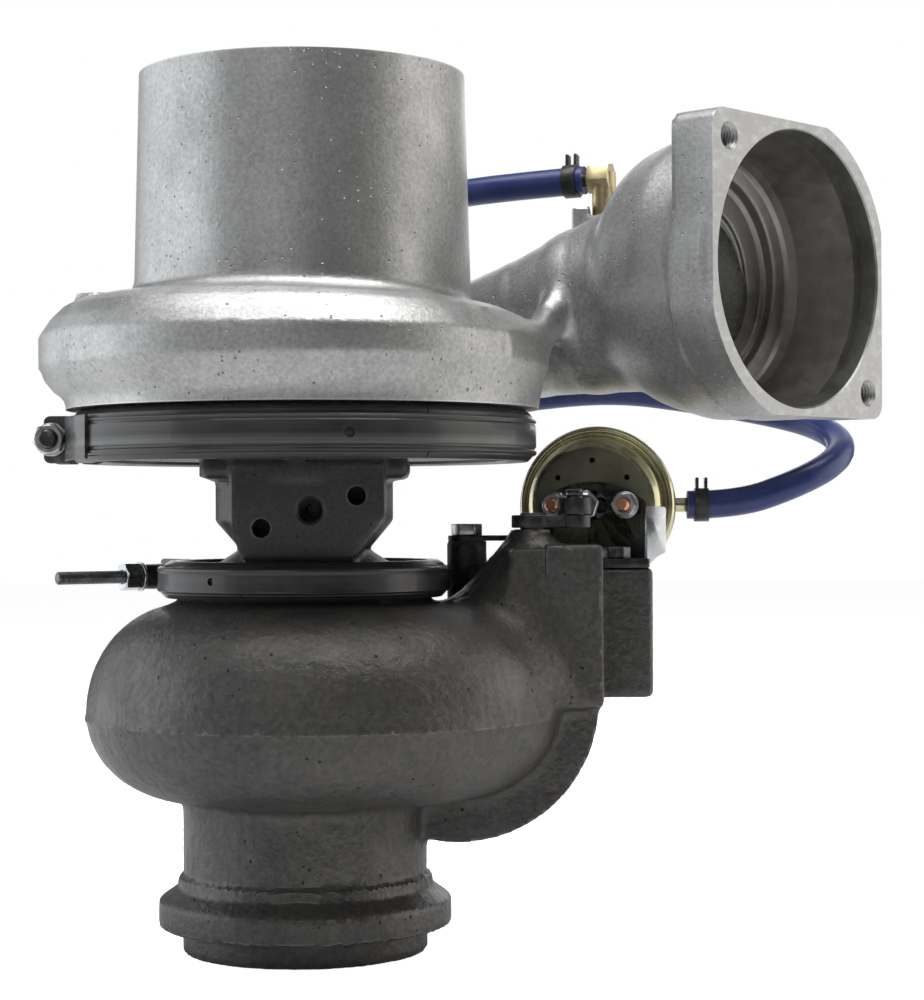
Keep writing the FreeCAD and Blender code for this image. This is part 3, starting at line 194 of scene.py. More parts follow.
# effects shared by the finishes
# Cast skin: fine grain, lumps, scattered pits, specks and slow patches of tone.
def buildSkinGroup():
    tree, given, result = newGroup("castSkin", [
        ("Grain", "NodeSocketFloat", 900.0), ("Lumps", "NodeSocketFloat", 0.5),
        ("Pits", "NodeSocketFloat", 0.12), ("Pit Scale", "NodeSocketFloat", 260.0),
        ("Patch Scale", "NodeSocketFloat", 22.0)],
        [("Height", "NodeSocketFloat"), ("Pit Mask", "NodeSocketFloat"),
         ("Speck Mask", "NodeSocketFloat"), ("Patch", "NodeSocketFloat"), ("Fine", "NodeSocketFloat")])
    spot = addNode(tree, "ShaderNodeTexCoord").outputs["Object"]
    fine = addNode(tree, "ShaderNodeTexNoise", Vector=spot, Scale=given.outputs["Grain"], Detail=3.0,
                   Roughness=0.65)
    lumpScale = sums(tree, "MULTIPLY", given.outputs["Grain"], 0.22)
    lump = addNode(tree, "ShaderNodeTexNoise", Vector=spot, Scale=lumpScale, Detail=2.0, Roughness=0.5)
    cells = addNode(tree, "ShaderNodeTexVoronoi", Vector=spot, Scale=given.outputs["Pit Scale"],
                    Randomness=1.0)
    random = addNode(tree, "ShaderNodeSeparateColor", Color=cells.outputs["Color"])
    gather = addNode(tree, "ShaderNodeTexNoise", Vector=spot, Scale=28.0, Detail=1.0)
    chosen = sums(tree, "LESS_THAN", random.outputs[0],
                  sums(tree, "MULTIPLY", given.outputs["Pits"],
                       mapped(tree, gather.outputs[0], (0.45, 0.62), (0.15, 2.2))))
    hollow = mapped(tree, cells.outputs["Distance"], (0.12, 0.34), (1.0, 0.0))
    pit = sums(tree, "MULTIPLY", chosen, hollow, clamp=True)
    lumpPart = sums(tree, "MULTIPLY", lump.outputs[0], given.outputs["Lumps"])
    height = sums(tree, "SUBTRACT", sums(tree, "ADD", sums(tree, "MULTIPLY", fine.outputs[0], 0.45),
                                         lumpPart),
                  sums(tree, "MULTIPLY", pit, 1.4))
    tree.links.new(height, result.inputs["Height"])
    tree.links.new(pit, result.inputs["Pit Mask"])
    speck = addNode(tree, "ShaderNodeTexNoise", Vector=spot, Scale=430.0, Detail=2.0)
    tree.links.new(mapped(tree, speck.outputs[0], (0.62, 0.72), (0.0, 1.0)), result.inputs["Speck Mask"])
    patch = addNode(tree, "ShaderNodeTexNoise", Vector=spot, Scale=given.outputs["Patch Scale"], Detail=4.0,
                    Roughness=0.6)
    tree.links.new(mapped(tree, patch.outputs[0], (0.32, 0.68), (0.0, 1.0)), result.inputs["Patch"])
    tree.links.new(fine.outputs[0], result.inputs["Fine"])
    return tree


# Edge wear: where a rounded normal leaves the true one, broken up by noise.
def buildEdgeGroup():
    tree, given, result = newGroup("edgeWear", [("Radius", "NodeSocketFloat", 0.0012),
                                                ("Spread", "NodeSocketFloat", 0.2)],
                                   [("Mask", "NodeSocketFloat")])
    soft = addNode(tree, "ShaderNodeBevel", {"samples": 4}, Radius=given.outputs["Radius"])
    true = addNode(tree, "ShaderNodeNewGeometry")
    dot = addNode(tree, "ShaderNodeVectorMath", {"operation": "DOT_PRODUCT"})
    tree.links.new(soft.outputs[0], dot.inputs[0])
    tree.links.new(true.outputs["Normal"], dot.inputs[1])
    edge = sums(tree, "SUBTRACT", 1.0, dot.outputs["Value"])
    spot = addNode(tree, "ShaderNodeTexCoord").outputs["Object"]
    breakup = addNode(tree, "ShaderNodeTexNoise", Vector=spot, Scale=320.0, Detail=3.0)
    edge = sums(tree, "MULTIPLY", sums(tree, "DIVIDE", edge, given.outputs["Spread"]),
                mapped(tree, breakup.outputs[0], (0.35, 0.6), (0.35, 1.0)), clamp=True)
    tree.links.new(edge, result.inputs["Mask"])
    return tree


# Dust and handling haze: more on faces that look up, in drifting patches.
def buildDustGroup():
    tree, given, result = newGroup("settledDust", [("Amount", "NodeSocketFloat", 0.4)],
                                   [("Mask", "NodeSocketFloat")])
    parts = addNode(tree, "ShaderNodeSeparateXYZ", Vector=addNode(tree,
                                                                  "ShaderNodeNewGeometry").outputs["Normal"])
    spot = addNode(tree, "ShaderNodeTexCoord").outputs["Object"]
    drift = addNode(tree, "ShaderNodeTexNoise", Vector=spot, Scale=55.0, Detail=4.0, Roughness=0.65)
    mask = sums(tree, "MULTIPLY", mapped(tree, parts.outputs["Z"], (0.1, 0.95), (0.12, 1.0)),
                mapped(tree, drift.outputs[0], (0.4, 0.66), (0.0, 1.0)))
    tree.links.new(sums(tree, "MULTIPLY", mask, given.outputs["Amount"], clamp=True), result.inputs["Mask"])
    return tree


# Tool marks of a lathe: fine rings that depend only on the radius and the height.
def buildTurnedGroup():
    tree, given, result = newGroup("turnedMarks", [("Vector", "NodeSocketVector", None),
                                                   ("Scale", "NodeSocketFloat", 1500.0)],
                                   [("Height", "NodeSocketFloat"), ("Tone", "NodeSocketFloat")])
    parts = addNode(tree, "ShaderNodeSeparateXYZ", Vector=given.outputs["Vector"])
    radius = sums(tree, "SQRT", sums(tree, "ADD", sums(tree, "MULTIPLY", parts.outputs["X"],
                                                       parts.outputs["X"]),
                                     sums(tree, "MULTIPLY", parts.outputs["Y"], parts.outputs["Y"])))
    flat = addNode(tree, "ShaderNodeCombineXYZ", X=radius, Y=parts.outputs["Z"])
    marks = addNode(tree, "ShaderNodeTexNoise", {"noise_dimensions": "2D"}, Vector=flat.outputs[0],
                    Scale=given.outputs["Scale"], Detail=2.0, Roughness=0.6)
    wide = addNode(tree, "ShaderNodeTexNoise", {"noise_dimensions": "2D"}, Vector=flat.outputs[0],
                   Scale=sums(tree, "MULTIPLY", given.outputs["Scale"], 0.12), Detail=2.0)
    tree.links.new(marks.outputs[0], result.inputs["Height"])
    tree.links.new(wide.outputs[0], result.inputs["Tone"])
    return tree


skinGroup, edgeGroup = buildSkinGroup(), buildEdgeGroup()
dustGroup, turnedGroup = buildDustGroup(), buildTurnedGroup()


# finishes
# dark and light tones, roughness from and to, bump depth in mm, grain per metre, worn edge tone
castFinishes = {
    "cast_aluminium": {"dark": (0.29, 0.29, 0.29), "light": (0.5, 0.5, 0.495), "metal": 0.9,
                       "rough": (0.38, 0.52),
                       "depth": 0.5, "grain": 520.0, "lumps": 0.3, "pits": 0.05, "pitScale": 520.0,
                       "edge": (0.7, 0.7, 0.69), "edgeRadius": 0.0016, "speck": (0.66, 0.66, 0.64),
                       "speckShare": 0.3,
                       "dust": (0.6, 0.6, 0.59), "dustShare": 0.25},
    "cast_iron": {"dark": (0.042, 0.041, 0.04), "light": (0.1, 0.097, 0.094), "metal": 0.45,
                  "rough": (0.34, 0.5),
                  "depth": 1.5, "grain": 330.0, "lumps": 0.7, "pits": 0.02, "pitScale": 380.0,
                  "edge": (0.28, 0.275, 0.27), "edgeRadius": 0.0014, "speck": (0.15, 0.09, 0.075),
                  "speckShare": 0.4,
                  "dust": (0.15, 0.14, 0.12), "dustShare": 0.3},
    "bearing_iron": {"dark": (0.03, 0.03, 0.032), "light": (0.062, 0.062, 0.065), "metal": 0.35,
                     "rough": (0.36, 0.52),
                     "depth": 0.5, "grain": 520.0, "lumps": 0.4, "pits": 0.03, "pitScale": 420.0,
                     "edge": (0.15, 0.15, 0.155), "edgeRadius": 0.0012, "speck": (0.1, 0.1, 0.1),
                     "speckShare": 0.2,
                     "dust": (0.11, 0.105, 0.1), "dustShare": 0.3},
    "heat_alloy": {"dark": (0.12, 0.11, 0.1), "light": (0.27, 0.25, 0.23), "metal": 0.85,
                   "rough": (0.35, 0.55),
                   "depth": 0.12, "grain": 1300.0, "lumps": 0.3, "pits": 0.03, "pitScale": 500.0,
                   "edge": (0.5, 0.47, 0.43), "edgeRadius": 0.0007, "speck": (0.2, 0.12, 0.08),
                   "speckShare": 0.35,
                   "dust": (0.1, 0.07, 0.05), "dustShare": 0.3},
}
plainFinishes = {
    "wheel_aluminium": {"tone": (0.66, 0.67, 0.68), "worn": (0.78, 0.78, 0.79), "metal": 1.0,
                        "rough": (0.18, 0.3),
                        "depth": 0.02, "marks": 2200.0, "coat": 0.0},
    "band_steel": {"tone": (0.05, 0.049, 0.049), "worn": (0.2, 0.2, 0.195), "metal": 0.55,
                   "rough": (0.3, 0.5),
                   "depth": 0.05, "marks": 1500.0, "coat": 0.15},
    "zinc_steel": {"tone": (0.52, 0.54, 0.56), "worn": (0.75, 0.77, 0.78), "metal": 1.0,
                   "rough": (0.2, 0.38),
                   "depth": 0.03, "marks": 1500.0, "coat": 0.0},
    "dark_steel": {"tone": (0.07, 0.069, 0.07), "worn": (0.3, 0.3, 0.3), "metal": 0.8, "rough": (0.26, 0.46),
                   "depth": 0.04, "marks": 1800.0, "coat": 0.1},
    "polished_steel": {"tone": (0.56, 0.56, 0.56), "worn": (0.7, 0.7, 0.7), "metal": 1.0,
                       "rough": (0.1, 0.22),
                       "depth": 0.01, "marks": 2600.0, "coat": 0.0},
    "bearing_bronze": {"tone": (0.55, 0.36, 0.17), "worn": (0.75, 0.54, 0.3), "metal": 1.0,
                       "rough": (0.2, 0.34),
                       "depth": 0.02, "marks": 2200.0, "coat": 0.0},
    "yellow_zinc": {"tone": (0.66, 0.62, 0.4), "worn": (0.85, 0.8, 0.58), "metal": 1.0, "rough": (0.2, 0.3),
                    "depth": 0.006, "marks": 200.0, "coat": 0.2},
    "copper_stud": {"tone": (0.62, 0.3, 0.17), "worn": (0.85, 0.52, 0.35), "metal": 1.0,
                    "rough": (0.24, 0.4),
                    "depth": 0.02, "marks": 2000.0, "coat": 0.0},
    "black_steel": {"tone": (0.018, 0.018, 0.019), "worn": (0.13, 0.13, 0.13), "metal": 0.2,
                    "rough": (0.32, 0.5),
                    "depth": 0.05, "marks": 1100.0, "coat": 0.1},
    "brass_fitting": {"tone": (0.5, 0.42, 0.25), "worn": (0.72, 0.63, 0.42), "metal": 1.0,
                      "rough": (0.26, 0.42),
                      "depth": 0.03, "marks": 1500.0, "coat": 0.0},
    "seal_rubber": {"tone": (0.05, 0.018, 0.014), "worn": (0.09, 0.04, 0.03), "metal": 0.0,
                    "rough": (0.45, 0.6),
                    "depth": 0.03, "marks": 900.0, "coat": 0.0},
    "machined_aluminium": {"tone": (0.36, 0.36, 0.355), "worn": (0.5, 0.5, 0.49), "metal": 0.95,
                           "rough": (0.36, 0.48),
                           "depth": 0.02, "marks": 1700.0, "coat": 0.0},
    "aged_zinc": {"tone": (0.2, 0.2, 0.145), "worn": (0.28, 0.28, 0.2), "metal": 0.85, "rough": (0.3, 0.44),
                  "depth": 0.01, "marks": 200.0, "coat": 0.1},
    # painted shade: a darker copy of the aluminium for the walls inside the outlet bore
    "shade_painted_aluminium": {"tone": (0.34, 0.33, 0.32), "worn": (0.42, 0.41, 0.4), "metal": 0.9,
                       "rough": (0.34, 0.5),
                       "depth": 0.06, "marks": 900.0, "coat": 0.0},
    "machined_iron": {"tone": (0.11, 0.11, 0.112), "worn": (0.26, 0.26, 0.26), "metal": 0.8,
                      "rough": (0.26, 0.4),
                      "depth": 0.03, "marks": 1500.0, "coat": 0.0},
}
hoseFinish = {"tone": (0.012, 0.026, 0.135), "pale": (0.035, 0.055, 0.2), "rough": (0.3, 0.46),
              "depth": 0.05}


# Cast metal: two tones by patch and grain, then specks, dust, worn edges and dark pits.
def buildCastMaterial(name, v):
    material, tree, shader = newMaterial(name)
    skin = useGroup(tree, skinGroup, Grain=v["grain"], Lumps=v["lumps"], Pits=v["pits"],
                    Pit_Scale=v["pitScale"])
    edge = useGroup(tree, edgeGroup, Radius=v["edgeRadius"])
    dust = useGroup(tree, dustGroup, Amount=v["dustShare"])
    grain = mapped(tree, skin.outputs["Fine"], (0.34, 0.66), (0.0, 1.0))
    tone = sums(tree, "ADD", sums(tree, "MULTIPLY", skin.outputs["Patch"], 0.45),
                sums(tree, "MULTIPLY", grain, 0.55))
    colour = mixed(tree, tone, v["dark"], v["light"])
    speck = sums(tree, "MULTIPLY", skin.outputs["Speck Mask"], v["speckShare"])
    colour = mixed(tree, speck, colour, v["speck"])
    colour = mixed(tree, dust.outputs["Mask"], colour, v["dust"])
    colour = mixed(tree, edge.outputs["Mask"], colour, v["edge"])
    colour = mixed(tree, sums(tree, "MULTIPLY", skin.outputs["Pit Mask"], 0.7), colour,
                   tuple(0.35 * tone for tone in v["dark"]))
    tree.links.new(colour, shader.inputs["Base Color"])
    rough = mapped(tree, skin.outputs["Patch"], (1, 0), v["rough"])
    rough = sums(tree, "ADD", rough, sums(tree, "MULTIPLY", dust.outputs["Mask"], 0.3), clamp=True)
    tree.links.new(rough, shader.inputs["Roughness"])
    shader.inputs["Metallic"].default_value = v["metal"]
    bump = addNode(tree, "ShaderNodeBump", Height=skin.outputs["Height"], Strength=0.8,
                   Distance=v["depth"] * mm)
    tree.links.new(bump.outputs[0], shader.inputs["Normal"])
    return material


# Turned or drawn metal: a hazed tone, faint lathe rings and brighter edges.
def buildPlainMaterial(name, v):
    material, tree, shader = newMaterial(name)
    spot = addNode(tree, "ShaderNodeTexCoord").outputs["Object"]
    marks = useGroup(tree, turnedGroup, Vector=spot, Scale=v["marks"])
    edge = useGroup(tree, edgeGroup, Radius=0.0006, Spread=0.3)
    haze = addNode(tree, "ShaderNodeTexNoise", Vector=spot, Scale=90.0, Detail=5.0, Roughness=0.7)
    fine = addNode(tree, "ShaderNodeTexNoise", Vector=spot, Scale=1400.0, Detail=2.0)
    cloud = mapped(tree, haze.outputs[0], (0.35, 0.68), (0.0, 1.0))
    colour = mixed(tree, cloud, tuple(0.78 * tone for tone in v["tone"]), v["tone"])
    colour = mixed(tree, mapped(tree, marks.outputs["Tone"], (0.5, 0.75), (0.0, 0.4)), colour, v["worn"])
    colour = mixed(tree, sums(tree, "MULTIPLY", edge.outputs["Mask"], 0.8), colour, v["worn"])
    tree.links.new(colour, shader.inputs["Base Color"])
    tree.links.new(mapped(tree, haze.outputs[0], (0.3, 0.7), v["rough"]), shader.inputs["Roughness"])
    shader.inputs["Metallic"].default_value = v["metal"]
    shader.inputs["Coat Weight"].default_value = v["coat"]
    height = sums(tree, "ADD", marks.outputs["Height"], sums(tree, "MULTIPLY", fine.outputs[0], 0.8))
    bump = addNode(tree, "ShaderNodeBump", Height=height, Strength=0.7, Distance=v["depth"] * mm)
    tree.links.new(bump.outputs[0], shader.inputs["Normal"])
    return material


# Smooth extruded rubber with handling marks.
def buildHoseMaterial(v):
    material, tree, shader = newMaterial("blueHose")
    spot = addNode(tree, "ShaderNodeTexCoord").outputs["Object"]
    haze = addNode(tree, "ShaderNodeTexNoise", Vector=spot, Scale=60.0, Detail=5.0, Roughness=0.7)
    fine = addNode(tree, "ShaderNodeTexNoise", Vector=spot, Scale=1600.0, Detail=2.0)
    scuff = addNode(tree, "ShaderNodeTexNoise", Vector=spot, Scale=380.0, Detail=3.0, Roughness=0.8)
    colour = mixed(tree, mapped(tree, haze.outputs[0], (0.35, 0.7), (0.0, 0.6)), v["tone"], v["pale"])
    colour = mixed(tree, mapped(tree, scuff.outputs[0], (0.64, 0.74), (0.0, 0.35)), colour,
                   (0.12, 0.14, 0.24))
    tree.links.new(colour, shader.inputs["Base Color"])
    tree.links.new(mapped(tree, haze.outputs[0], (0.3, 0.7), v["rough"]), shader.inputs["Roughness"])
    height = sums(tree, "ADD", fine.outputs[0], sums(tree, "MULTIPLY", haze.outputs[0], 3.0))
    bump = addNode(tree, "ShaderNodeBump", Height=height, Strength=0.6, Distance=v["depth"] * mm)
    tree.links.new(bump.outputs[0], shader.inputs["Normal"])
    return material


finishes = {name: buildCastMaterial(name, values) for name, values in castFinishes.items()}
finishes.update({name: buildPlainMaterial(name, values) for name, values in plainFinishes.items()})
finishes["blue_hose"] = buildHoseMaterial(hoseFinish)
print("finishes:", len(finishes))

# mesh helpers
# An object at the origin from arrays of points in mm and faces.
def makePiece(name, vertices, faces, body="housings", smoothAngle=35.0):
    mesh = bpy.data.meshes.new(name)
    mesh.from_pydata((np.asarray(vertices, dtype=np.float64) * mm).tolist(), [],
                     faces.tolist() if isinstance(faces, np.ndarray) else faces)
    mesh.validate()
    piece = bpy.data.objects.new(name, mesh)
    bpy.context.scene.collection.objects.link(piece)
    shade(piece, smoothAngle)
    if body:
        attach(piece, body)
    return piece


# Smooth faces, with edges sharper than an angle kept sharp.
def shade(piece, angle):
    mesh = piece.data
    mesh.polygons.foreach_set("use_smooth", np.ones(len(mesh.polygons), dtype=bool))
    mesh.set_sharp_from_angle(angle=math.radians(angle))


# Two unit vectors square to a direction, and the direction itself.
def bases(direction):
    way = np.array(direction, dtype=float)
    way /= np.linalg.norm(way)
    helper = np.array((0.0, 0.0, 1.0)) if abs(way[2]) < 0.9 else np.array((1.0, 0.0, 0.0))
    side = np.cross(helper, way)
    side /= np.linalg.norm(side)
    return side, np.cross(way, side), way


# Replace each corner of a closed outline by an arc; radius is one value or one per corner.
def softCorners(outline, radius, steps=4):
    points = np.array(outline, dtype=float)
    count = len(points)
    radii = np.broadcast_to(np.array(radius, dtype=float), (count,))
    result = []
    for i in range(count):
        before, corner, after = points[i - 1], points[i], points[(i + 1) % count]
        into, out = before - corner, after - corner
        lengthIn, lengthOut = np.linalg.norm(into), np.linalg.norm(out)
        into, out = into / lengthIn, out / lengthOut
        half = math.acos(max(-1.0, min(1.0, float(into @ out)))) / 2
        if radii[i] <= 0 or half > math.radians(88):
            result.append(corner)
            continue
        reach = min(radii[i] / math.tan(half), 0.45 * lengthIn, 0.45 * lengthOut)
        arc = reach * math.tan(half)
        centre = corner + (into + out) / np.linalg.norm(into + out) * (arc / math.sin(half))
        start, end = corner + into * reach - centre, corner + out * reach - centre
        total = math.atan2(start[0] * end[1] - start[1] * end[0], float(start @ end))
        for k in range(steps + 1):
            turn = total * k / steps
            cosine, sine = math.cos(turn), math.sin(turn)
            result.append(centre + (start[0] * cosine - start[1] * sine,
                                    start[0] * sine + start[1] * cosine))
    return np.array(result)


# Point(i, j) = base + r_i (cos a_j side + sin a_j up) + h_i way, for a closed (r, h) outline.
def latheMesh(profile, base=(0, 0, 0), direction=(0, 0, 1), segments=128):
    outline = np.array(profile, dtype=float)
    area = np.sum(outline[:, 0] * np.roll(outline[:, 1], -1) - np.roll(outline[:, 0], -1) * outline[:, 1])
    if area < 0:
        outline = outline[::-1]
    side, up, way = bases(direction)
    angle = np.linspace(0, 2 * np.pi, segments, endpoint=False)
    radius, height = outline[:, 0][:, None, None], outline[:, 1][:, None, None]
    ringWay = np.cos(angle)[None, :, None] * side + np.sin(angle)[None, :, None] * up
    grid = np.array(base, dtype=float) + radius * ringWay + height * way
    count = len(outline)
    index = np.arange(count * segments).reshape(count, segments)
    onAxis = outline[:, 0] < 1e-6
    index[onAxis] = index[onAxis][:, :1]
    following, turned = np.roll(index, -1, axis=0), np.roll(index, -1, axis=1)
    corner = np.roll(following, -1, axis=1)
    quads = np.stack([index, turned, corner, following], axis=-1).reshape(-1, 4)
    faces = []
    for quad in quads.tolist():
        clean = list(dict.fromkeys(quad))
        if len(clean) > 2:
            faces.append(clean)
    return grid.reshape(-1, 3), faces


# A turned piece from a closed (r, h) outline.
def lathe(name, profile, base=(0, 0, 0), direction=(0, 0, 1), segments=128, body="housings", angle=30.0):
    points, faces = latheMesh(profile, base, direction, segments)
    return cleaned(makePiece(name, points, faces, body, angle))


# Drop the points that no face uses and merge doubles.
def cleaned(piece):
    work = bmesh.new()
    work.from_mesh(piece.data)
    loose = [vertex for vertex in work.verts if not vertex.link_faces]
    bmesh.ops.delete(work, geom=loose, context="VERTS")
    bmesh.ops.remove_doubles(work, verts=work.verts, dist=1e-7)
    work.to_mesh(piece.data)
    work.free()
    return piece


# A flat outline in the (across, up) plane, pushed along across x up by a depth.
def prism(name, outline, depth, base, across, up, body="housings", bevel=0.0, angle=30.0):
    flat = np.array(outline, dtype=float)
    area = np.sum(flat[:, 0] * np.roll(flat[:, 1], -1) - np.roll(flat[:, 0], -1) * flat[:, 1])
    if area < 0:
        flat = flat[::-1]
    across, up = np.array(across, dtype=float), np.array(up, dtype=float)
    way = np.cross(across, up)
    near = np.array(base, dtype=float) + flat[:, :1] * across + flat[:, 1:] * up
    count = len(flat)
    points = np.concatenate([near, near + way * depth])
    ids = np.arange(count)
    sides = np.stack([ids, np.roll(ids, -1), np.roll(ids, -1) + count, ids + count], axis=-1).tolist()
    faces = [ids[::-1].tolist(), (ids + count).tolist()] + sides
    if depth < 0:
        faces = [face[::-1] for face in faces]
    piece = makePiece(name, points, faces, body, angle)
    if bevel:
        bevelled(piece, bevel)
    return piece


# Round the edges sharper than an angle.
def bevelled(piece, width, segments=2, angle=30.0):
    modifier = piece.modifiers.new("bevel", "BEVEL")
    modifier.width = width * mm
    modifier.segments = segments
    modifier.limit_method = "ANGLE"
    modifier.angle_limit = math.radians(angle)
    modifier.harden_normals = False
    bake(piece)
    shade(piece, angle)


# Work the piece's modifiers into its mesh.
def bake(piece):
    bpy.context.view_layer.update()
    graph = bpy.context.evaluated_depsgraph_get()
    mesh = bpy.data.meshes.new_from_object(piece.evaluated_get(graph))
    piece.modifiers.clear()
    piece.data = mesh


# Cut pieces out of a piece, or join them to it, and drop them.
def combine(piece, others, operation="DIFFERENCE", angle=35.0):
    for other in others:
        modifier = piece.modifiers.new("combine", "BOOLEAN")
        modifier.operation = operation
        modifier.solver = "MANIFOLD"
        modifier.object = other
        bake(piece)
    for other in others:
        bpy.data.objects.remove(other)
    shade(piece, angle)
    return piece


# cast shapes: a field that is negative inside, turned into a mesh
# min(a, b) - h^2 r / 4, with h = max(r - |a - b|, 0) / r: a fillet of about that radius.
def smoothUnion(first, second, radius):
    blend = np.maximum(radius - np.abs(first - second), 0.0) / radius
    return np.minimum(first, second) - blend * blend * radius * 0.25


# Distance to a line from start to end, less a radius that changes along it.
def coneField(points, start, end, startRadius, endRadius):
    start, end = np.array(start, dtype=np.float32), np.array(end, dtype=np.float32)
    axis = end - start
    along = np.clip((points - start) @ axis / (axis @ axis), 0.0, 1.0)
    near = start + along[:, None] * axis
    return np.linalg.norm(points - near, axis=1) - (startRadius + along * (endRadius - startRadius))


# Round cones joined end to end through (x, y, z, r) stations.
def chainField(points, stations):
    field = None
    for near, far in zip(stations, stations[1:]):
        part = coneField(points, near[:3], far[:3], near[3], far[3])
        field = part if field is None else np.minimum(field, part)
    return field


# Distance to a box with rounded edges, turned about +Z by some degrees.
def boxField(points, low, high, corner=0.0, turn=0.0, pivot=(0.0, 0.0)):
    low, high = np.array(low, dtype=np.float32), np.array(high, dtype=np.float32)
    spot = points - (low + high) / 2
    if turn:
        cosine, sine = math.cos(math.radians(-turn)), math.sin(math.radians(-turn))
        middle = (low + high) / 2
        offset = points[:, :2] - np.array(pivot, dtype=np.float32)
        spot = np.stack([offset[:, 0] * cosine - offset[:, 1] * sine + pivot[0] - middle[0],
                         offset[:, 0] * sine + offset[:, 1] * cosine + pivot[1] - middle[1],
                         points[:, 2] - middle[2]], axis=1)
    outside = np.abs(spot) - (high - low) / 2 + corner
    return (np.linalg.norm(np.maximum(outside, 0.0), axis=1)
            + np.minimum(outside.max(axis=1), 0.0) - corner)


# Signed distance to a closed outline in the (radius, height) plane.
def outlineField(radius, height, outline):
    outline = np.array(outline, dtype=np.float32)
    best = np.full(radius.shape, 1e12, dtype=np.float32)
    inside = np.zeros(radius.shape, dtype=bool)
    for (r0, h0), (r1, h1) in zip(outline, np.roll(outline, -1, axis=0)):
        dr, dh = r1 - r0, h1 - h0
        along = np.clip(((radius - r0) * dr + (height - h0) * dh) / (dr * dr + dh * dh), 0.0, 1.0)
        best = np.minimum(best, (radius - r0 - along * dr) ** 2 + (height - h0 - along * dh) ** 2)
        if h0 != h1:
            crossing = ((height >= h0) != (height >= h1)) & (radius < r0 + (height - h0) * dr / dh)
            inside ^= crossing
    distance = np.sqrt(best)
    return np.where(inside, -distance, distance)


# A solid of revolution; its outline is closed along the axis by mirroring.
def turnedField(points, outline, base=(0, 0, 0), direction=(0, 0, 1)):
    _, _, way = bases(direction)
    offset = points - np.array(base, dtype=np.float32)
    height = offset @ way.astype(np.float32)
    radius = np.sqrt(np.maximum((offset ** 2).sum(axis=1) - height ** 2, 0.0))
    outline = [(-40.0 if r == 0 else r, h) for r, h in outline]
    return outlineField(radius, height, outline)


# Surface nets: one point per mixed cell at the mean of its edge crossings, one quad per crossed grid
# edge, then each point slides along the field's slope onto the surface.
def castMesh(name, field, low, high, step, body="housings"):
    low, high = np.array(low, dtype=np.float32), np.array(high, dtype=np.float32)
    coarse = 4
    count = (np.ceil((high - low) / (step * coarse)).astype(int) + 1)
    blockStep = step * coarse
    axes = [low[i] + (np.arange(count[i]) + 0.5) * blockStep - step / 2 for i in range(3)]
    centres = np.stack(np.meshgrid(*axes, indexing="ij"), axis=-1).reshape(-1, 3).astype(np.float32)
    rough = field(centres).reshape(count)
    fine = rough.repeat(coarse, 0).repeat(coarse, 1).repeat(coarse, 2).astype(np.float32)
    near = (np.abs(rough) < blockStep * 1.25).repeat(coarse, 0).repeat(coarse, 1).repeat(coarse, 2)
    spots = np.argwhere(near)
    fine[near] = field((low + spots * step).astype(np.float32))
    inside = fine < 0

    shape = np.array(fine.shape) - 1
    corners = [(i, j, k) for i in (0, 1) for j in (0, 1) for k in (0, 1)]
    total = np.zeros(shape, dtype=np.int8)
    for i, j, k in corners:
        total += inside[i:i + shape[0], j:j + shape[1], k:k + shape[2]]
    cells = np.argwhere((total > 0) & (total < 8))
    number = np.full(shape, -1, dtype=np.int32)
    number[tuple(cells.T)] = np.arange(len(cells))
    summed = np.zeros((len(cells), 3))
    crossings = np.zeros(len(cells))
    for axis in range(3):
        for corner in corners:
            if corner[axis]:
                continue
            other = list(corner)
            other[axis] = 1
            start = fine[tuple((cells + corner).T)]
            end = fine[tuple((cells + other).T)]
            crossed = (start < 0) != (end < 0)
            share = np.where(crossed, start / np.where(crossed, start - end, 1.0), 0.0)
            spot = np.array(corner, dtype=float)[None, :].repeat(len(cells), 0)
            spot[:, axis] += share
            summed += spot * crossed[:, None]
            crossings += crossed
    points = low + (cells + summed / crossings[:, None]) * step

    faces = []
    for axis in range(3):
        after = [0, 0, 0]
        after[axis] = 1
        a, b = (axis + 1) % 3, (axis + 2) % 3
        start = inside[:fine.shape[0] - after[0], :fine.shape[1] - after[1], :fine.shape[2] - after[2]]
        end = inside[after[0]:, after[1]:, after[2]:]
        for rising in (True, False):
            edges = np.argwhere((start & ~end) if rising else (~start & end))
            edges = edges[(edges[:, a] > 0) & (edges[:, b] > 0)
                          & (edges[:, a] < shape[a]) & (edges[:, b] < shape[b])]
            quad = []
            for da, db in ((-1, -1), (0, -1), (0, 0), (-1, 0)):
                cell = edges.copy()
                cell[:, a] += da
                cell[:, b] += db
                quad.append(number[tuple(cell.T)])
            quad = np.stack(quad, axis=1)
            faces.append(quad if rising else quad[:, ::-1])
    faces = np.concatenate(faces)
    faces = faces[(faces >= 0).all(axis=1)]

    points = points.astype(np.float32)
    reach = step * 0.25
    for _ in range(3):
        value = field(points)
        slope = np.stack([field(points + offset) - value
                          for offset in np.eye(3, dtype=np.float32) * reach], axis=1) / reach
        size = np.maximum((slope ** 2).sum(axis=1), 0.2)
        move = -slope * (value / size)[:, None]
        length = np.linalg.norm(move, axis=1)
        points += (move * np.minimum(1.0, 0.6 * step / np.maximum(length, 1e-6))[:, None]).astype(np.float32)
    piece = makePiece(name, points, faces, body, 50.0)
    print(name, "cells", len(cells), "faces", len(faces))
    return piece

